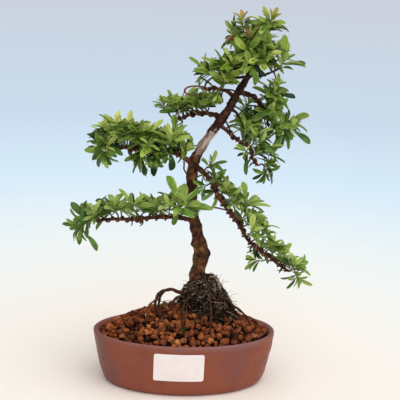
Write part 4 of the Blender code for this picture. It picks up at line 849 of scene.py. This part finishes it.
# Anodising leaves a satin sheen, lighter every few millimetres where the bark has rubbed it.
drawn = add(tree, "TexNoise", place, None, 1 / (4 * MM), 4.0)
colour = add(tree, "ValToRGB", drawn, stops=[(0.36, "#4B251C"), (0.50, "#75402F"), (0.66, "#A66D58")])
coat(tree, colour, [], drawn, 0.06, add(tree, "MapRange", drawn, 0.3, 0.7, 0.28, 0.46))
for name, (first, behind, second) in WIRES.items():
    behind = smooth_path(turned(behind), 3.0)
    start = facing_place(first, WIRE_START, behind[0])
    points = winding(first, guides[first].length - WIRE_END, start)
    if name == "wire_top":
        points = list(smooth_path(turned(WIRE_LOOP), 2.6)[::-1]) + points
    points += list(behind)
    # The lower wire ends in a hook, half a turn apart from the middle wire on the same branch.
    hooked = name == "wire_lower"
    offset = math.pi if hooked else 0.0
    start = facing_place(second, HOOK_START if hooked else WIRE_START, behind[-1], offset)
    end = start + HOOK_TURNS * WIRE_PITCH if hooked else guides[second].length - WIRE_END
    points += winding(second, start, end, offset)
    path = smooth_path(points, 0.8)
    wire = put(name + "_wound", *bars(path[None], WIRE_RADIUS, WIRE_SIDES), anodised, sharp=60)
    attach(wire, "root")
    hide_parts(name)

# The sprays are leafy shoots: a thin twig, and at its end a rosette of leathery evergreen leaves, each a
# golden turn on from the last. The old ones lie low and dark, the young ones stand up in yellow green,
# and the newest on the topmost shoots are red. Each spray replaces the node that stands at its place.
TWIG_RADIUS, TWIG_LIFT, SHOOT_SIDES = 0.75, 0.5, 7
LEAF_THICKNESS = 0.34
SEAT_GAP, SEAT_TRIES, SEAT_NUDGE = 0.35, 14, 0.6
LEAF_SHARE, LEAF_TURN, LEAF_LIFT = 0.49, 137.5, 0.18
LEAF_RING, RING_LEAVES = 1.4, 3
WHORL_DEPTH, WHORL_LENGTH = 5.0, 1.55
SPREAD = np.array([1.0, 0.68, 1.0])
AIMED_FACING, AIMED_STALK = np.array([0.1, -0.5, 0.6]), 0.25
SHOOT_SCATTER, SHOOT_BACK = (2.5, 6.0, 2.5), 3.0
FIRST_SEED = 1073
RED_TIPS = {"trunk_1": 1.0, "crown_top_2": 1.0, "crown_left_1": 0.8, "middle_left_2": 0.5,
            "crown_top_1": 1.0}
# For each branch the shoots between one spray and the next, a shift of its leaves' youth, and how far
# they have the deeper green of the shade.
BRANCH_LEAVES = {
    "lower_left": (2, 0.04, 0.45), "middle_left": (7, -0.02, 0.15), "upper_left": (5, -0.03, 0.1),
    "top_left": (3, 0.0, 0.0), "crown_left": (4, -0.04, 0.0), "trunk": (2, 0.0, 0.0),
    "crown_top": (2, 0.03, 0.0), "crown_back": (3, -0.03, 0.0), "crown_right": (1, -0.02, 0.0),
    "upper_right": (2, 0.0, 0.2), "back_right": (2, -0.06, 0.0), "middle_right": (0, -0.06, 0.15),
    "falling": (1, 0.10, 0.35),
}
# For each spray its share of the way along the branch, and for each of its rosettes the tip's offset,
# the leaf count and length, and the offsets that single large leaves reach to.
SPRAYS = {
    "lower_left": [
        (1.00, [(-11, -1, -6, 11, 18, [(-27, -5, -3), (-11, -5, -21), (8, -9, -24)]),
                (-8, 7, -1, 9, 15)]),
        (0.92, [(-3, -5, 8, 10, 15)]),
        (0.76, [(-2, -4, 12, 12, 17, [(-19, -2, 19)]), (-7, 14, 6, 8, 15)]),
        (0.60, [(-1, -6, 15, 11, 16), (5, 12, 8, 8, 15)]), (0.40, [(1, -1, 8, 9, 18)]),
        (0.22, [(6, -13, 14, 8, 19, [(-7, -11, 42), (23, -17, 31), (25, -17, 19), (0, -19, -2)])])],
    "middle_left": [
        (1.00, [(-2, -2, 7, 12, 14), (0, -8, -9, 9, 13)]), (0.90, [(2, -2, 17, 12, 13)]),
        (0.74, [(1, -5, 22, 10, 15), (-1, 13, 14, 7, 14)]),
        (0.52, [(-1, -2, 15, 10, 14), (6, -4, -6, 6, 12)]),
        (0.40, [(0, 7, 13, 9, 13), (-19, -1, -7, 6, 16, [(-14, -3, -24)])]),
        (0.34, [(7, -3, 15, 10, 17, [(4, -3, 34)]), (3, -7, 6, 8, 13, [(5, -7, -17)])]),
        (0.18, [(5, -6, 6, 4, 12)])],
    "upper_left": [
        (1.00, [(-10, -3, 16, 11, 12), (1, -7, 18, 10, 12)]),
        (0.58, [(-4, -3, 10, 10, 13), (-8, 7, 8, 8, 12)]), (0.32, [(-2, -3, 10, 8, 13)])],
    "top_left": [
        (0.85, [(-8, -2, 6, 6, 14), (3, -6, -6, 5, 12)]), (0.52, [(5, -6, 11, 8, 13)])],
    "crown_left": [
        (1.00, [(-7, 1, 1, 12, 16, [(-23, -1, 15)])]),
        (0.78, [(0, 4, 9, 10, 15), (10, -6, 11, 10, 15)])],
    "trunk": [
        (1.00, [(-1, 0, 10, 10, 13), (-7, -2, -2, 8, 12)]),
        (0.95, [(0, -9, -3, 10, 17, [(-22, -8, -6)])]), (0.93, [(-4, 12, -6, 8, 14)]),
        (0.91, [(11, -10, 2, 9, 16), (2, -12, -4, 9, 16)])],
    "crown_top": [
        (0.55, [(-6, -5, 7, 8, 13)]), (1.00, [(7, 0, 11, 9, 13, [(-1, -2, 21)])])],
    "crown_back": [(1.00, [(-3, 3, 1, 9, 15), (5, 2, 8, 8, 15)])],
    "crown_right": [
        (1.00, [(4, -1, 5, 5, 19, [(4, -2, 30), (23, -3, 6)])]),
        (0.75, [(-8, -2, 12, 8, 14), (-5, 4, 24, 7, 18)])],
    "upper_right": [
        (0.38, [(18, -3, 15, 8, 12), (15, -7, 7, 4, 17, [(35, -7, 6)])]),
        (0.54, [(8, -3, 7, 7, 14), (11, -7, -1, 6, 15)]),
        (0.82, [(-1, -6, -2, 8, 17), (-4, -8, -11, 7, 15)]),
        (1.00, [(6, -4, -2, 11, 18, [(30, -6, -13), (0, -10, -20)])])],
    "back_right": [(0.50, [(9, 6, 10, 9, 13)]), (1.00, [(1, 2, 3, 9, 14), (8, -6, -3, 8, 14)])],
    "middle_right": [
        (0.42, [(7, 4, 9, 7, 17), (4, 14, 10, 5, 12)]), (0.60, [(9, 3, 9, 7, 13), (12, -1, 3, 5, 15)]),
        (0.66, [(-2, -7, -2, 7, 12)]), (0.78, [(5, 3, 1, 7, 13), (13, 7, 3, 4, 16)]),
        (1.00, [(9, 1, 3, 12, 12), (6, -3, -4, 8, 13)])],
    "falling": [
        (0.10, [(5, -2, 10, 7, 12), (12, -10, -3, 4, 11)]), (0.18, [(-8, -1, -3, 5, 13)]),
        (0.27, [(7, 0, 6, 9, 14), (14, -5, -6, 9, 14)]), (0.43, [(12, 0, 11, 8, 19, [(9, -2, 33)])]),
        (0.52, [(8, -3, 7, 7, 14), (18, 2, 1, 8, 15)]), (0.66, [(11, -1, 10, 10, 15)]),
        (0.74, [(-3, -4, -9, 4, 14)]), (0.80, [(5, 1, 10, 9, 15)]), (0.88, [(6, -1, 6, 9, 15)]),
        (1.00, [(3, -2, 5, 9, 15), (6, -2, -6, 8, 14)])],
}


def leaf_count(rosette):
    """The leaves of a CAD rosette: about half of those in the table, and three at least."""
    return max(3, int(round(rosette[3] * LEAF_SHARE)))


def ring_count(rosette):
    """The rings that its leaves stand in below the one at the tip, three to a ring."""
    return math.ceil((leaf_count(rosette) - 1) / RING_LEAVES)


def twig_route(start, direction, tip, clear, rings):
    """A twig leaves straight out of its branch, then bends upwards on a Bezier curve to a straight
    leafy end. Returns its points and the end's axis."""
    span = np.linalg.norm(tip - start)
    heading = unit(tip - start)
    axis = unit(heading + np.array([0, 0, TWIG_LIFT if heading[2] > -0.25 else 0.0]))
    foot = tip - axis * LEAF_RING * rings
    leave, arrive = start + direction * max(clear, 0.35 * span), foot - axis * 0.3 * span
    t = np.linspace(0, 1, 12)[:, None]
    stalk = ((1 - t) ** 3 * start + 3 * (1 - t) ** 2 * t * leave + 3 * (1 - t) * t ** 2 * arrive
             + t ** 3 * foot)
    return np.vstack([stalk, tip]), axis


def spray_routes(name, guide, share, rosettes, stands):
    """The routes of a spray's twigs. The CAD spray tried several seats until its twigs were clear of
    all that stands, so each seat is worked out again and the one nearest the node's mesh is kept."""
    noise = random.Random(name)
    home = share * guide.length
    origin = guide.read(home)[0]
    best = None
    for attempt in range(SEAT_TRIES):
        shift = (attempt + 1) // 2 * (WIRE_PITCH if guide.wired else 2.5) * (-1) ** attempt
        nudge = np.array([noise.uniform(-1, 1) for _ in range(3)]) * SEAT_NUDGE * attempt
        first = turned(rosettes[0][:3]) + nudge
        if share == 1.0 and attempt < 5:
            point, radius, direction, _, _ = guide.read(guide.length)
            start = point + direction * SEAT_GAP
        else:
            place, direction = seat_of(guide, min(home, guide.length - 3.0) + shift, first)
            point, radius, _, _, _ = guide.read(place)
            start = point + direction * (radius + SEAT_GAP)
        clear = radius + 2 * WIRE_RADIUS + 1.5 if guide.wired else 1.5
        main, axis = twig_route(start, direction, origin + first, clear, ring_count(rosettes[0]))
        misses = np.linalg.norm(main[:, None] - stands[None], axis=-1).min(1).mean()
        if best is None or misses < best[0]:
            best = (misses, point, nudge, main, axis)
    _, point, nudge, main, axis = best
    routes = [(np.vstack([point, main]), axis)]
    for rosette in rosettes[1:]:
        tip = origin + turned(rosette[:3]) + nudge
        routes.append(twig_route(main[3], unit(main[5] - main[2]), tip, 1.0, ring_count(rosette)))
    return origin, routes


def tilted(axis, turn, tilt, lift=0.0):
    """A direction at an angle of tilt off an axis, towards the side that turn gives, and raised."""
    side = unit(np.cross(axis, (0.31, -0.42, 0.85)))
    around = math.cos(turn) * side + math.sin(turn) * np.cross(axis, side)
    return math.cos(tilt) * axis + math.sin(tilt) * around + np.array([0, 0, lift])


# The next four functions list leaves, a row each: foot, heading, length, youth and redness.
def whorl(path, axis, count, size, noise, red=0.0):
    """Leaves round the end of a twig: the low ones long and spread flat, the high ones short and
    upright."""
    start = noise.uniform(0, 6.3)
    leaves = []
    for index in range(count):
        share = (index + 0.5) / count
        turn = start + math.radians(index * LEAF_TURN) + noise.uniform(-0.6, 0.6)
        tilt = math.radians(92 - 62 * share + noise.uniform(-22, 22))
        heading = unit(tilted(axis, turn, tilt, LEAF_LIFT) * SPREAD)
        length = WHORL_LENGTH * size * noise.uniform(0.58, 1.12) * (1 - 0.3 * share)
        leaves.append((path[-1] - axis * WHORL_DEPTH * (1 - share), heading, length, share,
                       0.5 * red * share ** 2))
    return leaves


def stalk_leaves(path, size, noise):
    """A few leaves along the twig below its rosette, each to another side."""
    tangents, sides, ups = frames_along(path)
    leaves = []
    for index in range(5, len(path) - 1, 2):
        turn = math.radians(index * LEAF_TURN) + noise.uniform(-0.5, 0.5)
        heading = math.cos(turn) * sides[index] + math.sin(turn) * ups[index]
        heading = unit((heading + 0.6 * tangents[index] + np.array([0, 0, 0.25])) * SPREAD)
        leaves.append((path[index], heading, size * noise.uniform(0.75, 1.2), 0.3, 0.0))
    return leaves


def tip_leaves(path, axis, count, size, red=0.0):
    """The newest leaves, small and folded upright at the very end of the twig."""
    return [(path[-1], unit(tilted(axis, math.radians(k * LEAF_TURN + 20), math.radians(26 - 5 * k))),
             size * (0.72 + 0.2 * red - 0.07 * k), 0.84, red) for k in range(count)]


def rosette_leaves(path, axis, rosette, aims, seed):
    """The leaves of a CAD rosette, from the same seed, so that they lie where its blades lie. An aimed
    leaf also has a facing and a stalk."""
    noise = random.Random(seed)
    count, rings = leaf_count(rosette), ring_count(rosette)
    leaves = [(path[-1], unit(aim - path[-1]), np.linalg.norm(aim - path[-1]), 0.15, 0.0, AIMED_FACING,
               AIMED_STALK) for aim in aims]
    for index in range(count):
        share = index / (count - 1)
        turn = math.radians(index * LEAF_TURN + noise.uniform(-14, 14))
        tilt = math.radians(78 - 50 * share + noise.uniform(-7, 7))
        size = rosette[4] * noise.uniform(0.8, 1.08) * (1 - 0.3 * share)
        ring = rings - 1 - index // RING_LEAVES if index < count - 1 else 0
        leaves.append((path[-1] - axis * LEAF_RING * (ring + 0.5),
                       unit(tilted(axis, turn, tilt, LEAF_LIFT)), 1.05 * size, share, 0.0))
    return leaves


def shoots_between(branch, number, noise):
    """More shoots between one spray and the next: seat, tip and leaf length lie between theirs, with
    a scatter that is widest from front to back. Yields the branch place, tip offset and size."""
    table, count = SPRAYS[branch], BRANCH_LEAVES[branch][0]
    share, rosettes = table[number]
    last = number + 1 == len(table)
    other_share, others = table[number if last else number + 1]
    count = (count + 1) // 2 if last else count
    for index in range(count):
        mix = (index + 0.7) / (count + 0.4)
        near, far = (np.array(noise.choice(rows)[:5], float) for rows in (rosettes, others))
        row = (1 - mix) * near + mix * far
        scatter = np.array([noise.gauss(0, spread) for spread in SHOOT_SCATTER])
        scatter[1] += SHOOT_BACK
        yield (1 - mix) * share + mix * other_share, turned(0.82 * row[:3] + scatter), row[4]


# Stretches of wood, as heights on the trunk or shares of a branch, that the grower keeps clear in
# front, so that the tree's lines show. FRONT points from them to the viewer, a little upwards.
CLEAR_STRETCHES = {"falling": (0.02, 0.93), "lower_left": (0.30, 0.92), "upper_left": (0.05, 0.97),
                   "top_left": (0.0, 1.0), "middle_left": (0.08, 0.30), "middle_right": (0.1, 0.85),
                   "upper_right": (0.0, 0.45), "trunk": (0.45, 0.74)}
FRONT = turned((0.0, -math.cos(math.radians(15)), math.sin(math.radians(15))))
loop = smooth_path(turned(WIRE_LOOP), 1.5)
clear_wood = [np.column_stack([loop, np.full(len(loop), WIRE_RADIUS)])] + bare
for branch, (low, high) in CLEAR_STRETCHES.items():
    guide = smooth_guides[branch]
    keep = (guide.places > low * guide.length) & (guide.places < high * guide.length)
    clear_wood.append(np.column_stack([guide.path[keep], guide.radii[keep]])[::6])
clear_wood = np.vstack(clear_wood)


def hides_wood(leaf):
    """Whether a leaf passes in front of a clear stretch: some point on it lies on the viewer's side,
    and nearer the line of sight through the wood than the wood's radius and its wire."""
    foot, heading, length = leaf[:3]
    points = foot + heading * length * np.array([[0.35], [0.6], [0.85], [1.0]])
    points[:, 2] -= 0.3 * length * np.array([0.1, 0.35, 0.7, 1.0])
    gap = points[:, None] - clear_wood[None, :, :3]
    before = gap @ FRONT
    aside = np.linalg.norm(gap - before[..., None] * FRONT, axis=-1)
    return bool(((before > 0) & (aside < clear_wood[:, 3] + 2.4)).any())


BLADE_ALONG = np.array([0, 0.09, 0.22, 0.38, 0.54, 0.69, 0.82, 0.93, 1.0])
BLADE_HALF = np.array([0.12, 0.12, 0.38, 0.70, 0.92, 1.0, 0.94, 0.68, 0.14])


def blades(feet, headings, normals, lengths, stalks, seed):
    """Leaf blades, each a grid of u from -1 to 1 across and v from 0 to 1 along. The half width is a
    table of v, broadest past the middle and with a blunt tip. A point lies at u times that to the
    side, raised by a fold of |u|, lowered by a droop of v squared, and bent aside by v squared. The
    underside lies a thickness below, and meets the upper side all round."""
    noise = np.random.default_rng(seed)
    one = (len(feet), 1, 1)
    uu, vv = np.meshgrid((-1.0, -0.55, 0.0, 0.55, 1.0), BLADE_ALONG)
    lengths, stalks = lengths.reshape(one), stalks.reshape(one)
    width = lengths * 0.125 * noise.uniform(0.85, 1.2, one) + 0.3
    limp = np.where(stalks > 0, 0.3, 1.0) * lengths
    droop = noise.uniform(0.15, 0.48, one) * limp
    fold = noise.uniform(0.20, 0.75, one)
    bend = noise.normal(0, 0.07, one) * limp
    curl = noise.normal(0, 0.12, one)
    ripple = noise.uniform(0, 2 * math.pi, one)
    reach = width * BLADE_HALF[:, None] * uu
    far = np.where(vv > 0, stalks + (1 - stalks) * vv, 0.0)
    rise = (fold * np.abs(reach) - droop * far ** 2 + curl * reach * vv
            + 0.05 * width * uu ** 2 * np.sin(9 * vv + ripple))
    feet, headings, normals = (rows[:, None, None] for rows in (feet, headings, normals))
    top = (feet + headings * (lengths * far)[..., None]
           + np.cross(headings, normals) * (reach + bend * far ** 2)[..., None]
           + normals * rise[..., None])
    under = top[:, 1:-1, 1:-1] - LEAF_THICKNESS * normals
    vertices = np.concatenate([part.reshape(len(feet), -1, 3) for part in (top, under)], 1)
    rows, columns = uu.shape
    upper = np.arange(rows * columns).reshape(rows, columns)
    lower = upper.copy()
    lower[1:-1, 1:-1] = rows * columns + np.arange((rows - 2) * (columns - 2)).reshape(rows - 2, -1)
    faces = np.vstack([np.stack([grid[:-1, :-1], grid[:-1, 1:], grid[1:, 1:], grid[1:, :-1]], -1)
                       .reshape(-1, 4)[:, ::way] for grid, way in ((upper, 1), (lower, -1))])
    each = vertices.shape[1]
    faces = (faces + (np.arange(len(feet)) * each)[:, None, None]).reshape(-1, 4)
    across, along = (np.concatenate([values.ravel(), values[1:-1, 1:-1].ravel()]) for values in (uu, vv))
    return vertices.reshape(-1, 3), faces, across, along, np.arange(each) >= rows * columns


leaf_skin, tree, place = new_material("leathery_evergreen_leaf", 0.26, specular=0.28)
# The leaf colour's first channel holds each leaf's youth together with painted shade: lighter in front and
# outside, darker inside and behind.
leaf = add(tree, "Attribute", attribute_name="leaf", out=None)
youth_and_depth_shade, red, below = add(tree, "SeparateColor", leaf[0], out=None)
blade = add(tree, "Attribute", attribute_name="blade")
across, along, shade = add(tree, "SeparateColor", blade, out=None)
patchy = add(tree, "TexNoise", place, None, 1 / (7 * MM), 4.0)
youth_and_depth_shade = shifted(tree, youth_and_depth_shade, patchy, 0.13)
sunny = add(tree, "ValToRGB", youth_and_depth_shade, stops=[(0.05, "#1B3205"), (0.33, "#547814"), (0.58, "#8CA432"),
                                            (0.85, "#B2BF54"), (1.0, "#CDCC70")])
shady = add(tree, "ValToRGB", youth_and_depth_shade, stops=[(0.05, "#1F4A14"), (0.40, "#4F8434"), (0.75, "#8DB45C"),
                                            (1.0, "#B4CC80")])
# The midrib is a pale line a third of a millimetre wide. The margin is a paler, thinner edge, and is also
# made brighter than its own colour as a painted highlight of light through and along the edge.
across = add(tree, "Math", across, operation="ABSOLUTE")
rib = add(tree, "MapRange", across, 0.16, 0.05)
pale = add(tree, "Math", youth_and_depth_shade, 0.6, operation="MULTIPLY", use_clamp=True)
pale_rib = add(tree, "Math", rib, pale, operation="MULTIPLY")
margin = add(tree, "MapRange", across, 0.72, 1.0, None, 1.5)
margin = add(tree, "Math", margin, pale, operation="MULTIPLY", use_clamp=True)
# The underside is duller and greyer than the waxy upper side, and the twigs turn from green to brown.
dull = add(tree, "Math", below, 0.4, operation="MULTIPLY")
# Side veins leave the midrib about every 1.5 mm and run forwards.
slant = add(tree, "Math", across, -0.25, along, operation="MULTIPLY_ADD")
veins = add(tree, "Math", add(tree, "Math", slant, 62.0, operation="MULTIPLY"), operation="SINE")
coat(tree, sunny, [(shade, shady), (red, "#A84A3A"), (pale_rib, "#BCC570"), (margin, "#DFE99A"),
                   (dull, "#8FA558"), (leaf["Alpha"], "#5B3A24")],
     add(tree, "Math", rib, -1.0, veins, operation="MULTIPLY_ADD"), 0.05)

seed = FIRST_SEED
for branch, number in [(branch, k) for branch, table in SPRAYS.items() for k in range(len(table))]:
    share, rosettes = SPRAYS[branch][number]
    guide, stem = guides[branch], smooth_guides[branch]
    name = "%s_%d" % (branch, number + 1)
    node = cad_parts["spray_" + name].data
    stands = np.empty(len(node.vertices) * 3)
    node.vertices.foreach_get("co", stands)
    origin, routes = spray_routes("spray_" + name, guide, share, rosettes, stands.reshape(-1, 3) / MM)
    red = RED_TIPS.get(name, 0.0)
    shoots = []
    for k, ((path, axis), rosette) in enumerate(zip(routes, rosettes)):
        aims = [origin + turned(aim) for aim in rosette[5]] if len(rosette) > 5 else []
        rows = rosette_leaves(path, axis, rosette, aims, "spray_%s %d" % (name, k))
        noise = random.Random("spray_%s %d more" % (name, k))
        size = rosette[4]
        extra = whorl(path, axis, max(rosette[3] - leaf_count(rosette), 4), size, noise, red)
        extra += tip_leaves(path, axis, 4 if red > 0.6 else 2, size, red)
        shoots.append((path, axis, rows, extra, size, noise))
    noise = random.Random(name + " between")
    for seat, offset, size in shoots_between(branch, number, noise):
        point, _, tangent, _, _ = stem.read(seat * stem.length)
        away = unit(offset - tangent * np.dot(offset, tangent))
        path, axis = twig_route(point, away, guide.read(seat * guide.length)[0] + offset, 2.0, 1)
        extra = whorl(path, axis, noise.randint(4, 7), size, noise) + tip_leaves(path, axis, 2, size)
        shoots.append((path, axis, [], extra, size, noise))
    leaves, spray_parts = [], []
    for path, axis, rows, extra, size, noise in shoots:
        rows += [row for row in extra + stalk_leaves(path, size, noise) if not hides_wood(row)]
        leaves += [row if len(row) > 5 else (*row, axis, 0.0) for row in rows]
        radii = np.linspace(1.15 * TWIG_RADIUS, 0.55 * TWIG_RADIUS, len(path))
        brown = np.append(np.linspace(0.9, 0.25, len(path)).repeat(SHOOT_SIDES), [0.9, 0.25])
        spray_parts.append((*bars(path[None], radii, SHOOT_SIDES), each_own(0.4, 0, 0, brown)))
    twigs = sum(len(part[0]) for part in spray_parts)
    feet, headings, lengths, youth_and_depth_shade, redness, axes, stalks = map(np.array, zip(*leaves))
    chance = np.random.default_rng(seed)
    roll = chance.normal(0, 0.3, (len(leaves), 1))
    normals = unit(axes + np.array([0.0, -0.25, 0.45]))
    normals = unit(normals - headings * (normals * headings).sum(-1, keepdims=True))
    normals = np.cos(roll) * normals + np.sin(roll) * np.cross(headings, normals)
    vertices, faces, across, along, below = blades(feet, headings, normals, lengths, stalks, seed)
    seed += 1
    # Leaves are young where they stand up. Those on the outside and front of the spray are also painted
    # lighter, and those inside and behind darker, as painted shade.
    _, shift, shade = BRANCH_LEAVES[branch]
    offset = feet + 0.6 * headings * lengths[:, None] - origin
    painted_front_light = 0.5 * np.linalg.norm(offset, axis=1) + offset @ np.array([0.0, -0.5, 0.3])
    youth_and_depth_shade = 0.23 + 0.40 * youth_and_depth_shade + 0.14 * headings[:, 2] + chance.normal(0, 0.15, len(leaves)) + shift
    youth_and_depth_shade = np.clip(youth_and_depth_shade + 0.013 * np.clip(painted_front_light - 11.0, -20, 10), 0.0, 0.90)
    redness = redness * chance.uniform(0.3, 0.9, len(leaves))
    each = len(across)
    spray_parts.append((vertices, [faces], each_own(youth_and_depth_shade.repeat(each), redness.repeat(each),
                                                    np.tile(below, len(leaves)), 0)))
    vertices, faces, colours = joined(spray_parts)
    grid = np.zeros((len(vertices), 4))
    grid[:twigs, 0] = 0.5
    grid[twigs:, 0] = np.tile(across, len(leaves))
    grid[twigs:, 1] = np.tile(along, len(leaves))
    grid[twigs:, 2] = shade
    spray = put("leafy_shoot_" + name, vertices, faces, leaf_skin, {"leaf": colours, "blade": grid},
                sharp=50)
    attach(spray, "root")
    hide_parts("spray_" + name)

# The stage is a plain floor that pales from warm white round the pot to a light blue far off, the same
# on every side, with soft studio light from above and in front. The camera stands where the
# photograph was taken from, a metre in front and looking down.
FLOOR_RADII, FLOOR_SIDES, FLOOR_DROP = (60000.0, 500.0), 40, 0.05
CAMERA, PITCH, YAW, ROLL = (-85.9, -1004.0, 441.1), 14.65, 5.42, 2.52
FOCAL_PIXELS, FRAME_PIXELS, SENSOR = 1121.8, 400, 36.0

seamless, tree, place = new_material("painted_studio_floor", 0.9, specular=0.1)
flat = add(tree, "Mapping", place, None, None, (1.0, 1.0, 0.0))
far = add(tree, "VectorMath", flat, operation="LENGTH", out="Value")
far = add(tree, "Math", add(tree, "MapRange", far, 0.0, 5.0), 0.4, operation="POWER")
colour = add(tree, "ValToRGB", far,
             stops=[(0.0, "#F5E8DC"), (0.27, "#F3EBE2"), (0.39, "#E4EAE9"), (0.485, "#CEE0ED"),
                    (0.60, "#C0D1E0"), (0.94, "#C0C6D1")])
tree.links.new(colour, tree.nodes["Principled BSDF"].inputs["Base Color"])
floor_rings = oval_rings(np.array([(radius, radius, -FLOOR_DROP) for radius in FLOOR_RADII]), FLOOR_SIDES)
vertices, faces = skin(floor_rings)
floor = put("studio_floor", vertices, [faces[0], faces[1][FLOOR_SIDES:]], seamless)

lens = bpy.data.cameras.new("photograph")
lens.sensor_width = SENSOR
lens.lens = FOCAL_PIXELS / FRAME_PIXELS * SENSOR
camera = bpy.data.objects.new("photograph", lens)
camera.matrix_world = (
    Matrix.Translation([MM * along for along in CAMERA]) @ Matrix.Rotation(-math.radians(YAW), 4, "Z")
    @ Matrix.Rotation(math.radians(90 - PITCH), 4, "X") @ Matrix.Rotation(math.radians(ROLL), 4, "Z"))
bpy.context.scene.collection.objects.link(camera)
bpy.context.scene.camera = camera

# Each softbox is so large and far that it lights the whole floor evenly.
for name, azimuth, elevation, spread, watts in (("key_softbox", 308, 50, 80, 1.95),
                                                ("fill_softbox", 215, 35, 90, 0.62),
                                                ("top_softbox", 80, 78, 80, 1.0)):
    light = bpy.data.lights.new(name, "SUN")
    light.angle = math.radians(spread)
    light.energy = watts
    lamp = bpy.data.objects.new(name, light)
    lamp.rotation_euler = (math.radians(90 - elevation), 0.0, math.radians(azimuth + 90))
    bpy.context.scene.collection.objects.link(lamp)
# The room gives a faint even light. Beyond the floor's edge it shows as pale as the floor does there.
world = bpy.data.worlds.new("studio")
world.use_nodes = True
tree = world.node_tree
faint = tree.nodes["Background"]
faint.inputs["Color"].default_value = linear("#EFF2F6")
faint.inputs["Strength"].default_value = 0.27
beyond = add(tree, "Background", "#CCD3DF", 1.0)
room = add(tree, "MixShader", add(tree, "LightPath", out="Is Camera Ray"), faint.outputs[0], beyond)
tree.links.new(room, tree.nodes["World Output"].inputs["Surface"])
bpy.context.scene.world = world
bpy.context.scene.view_settings.view_transform = "Standard"

bpy.context.view_layer.update()
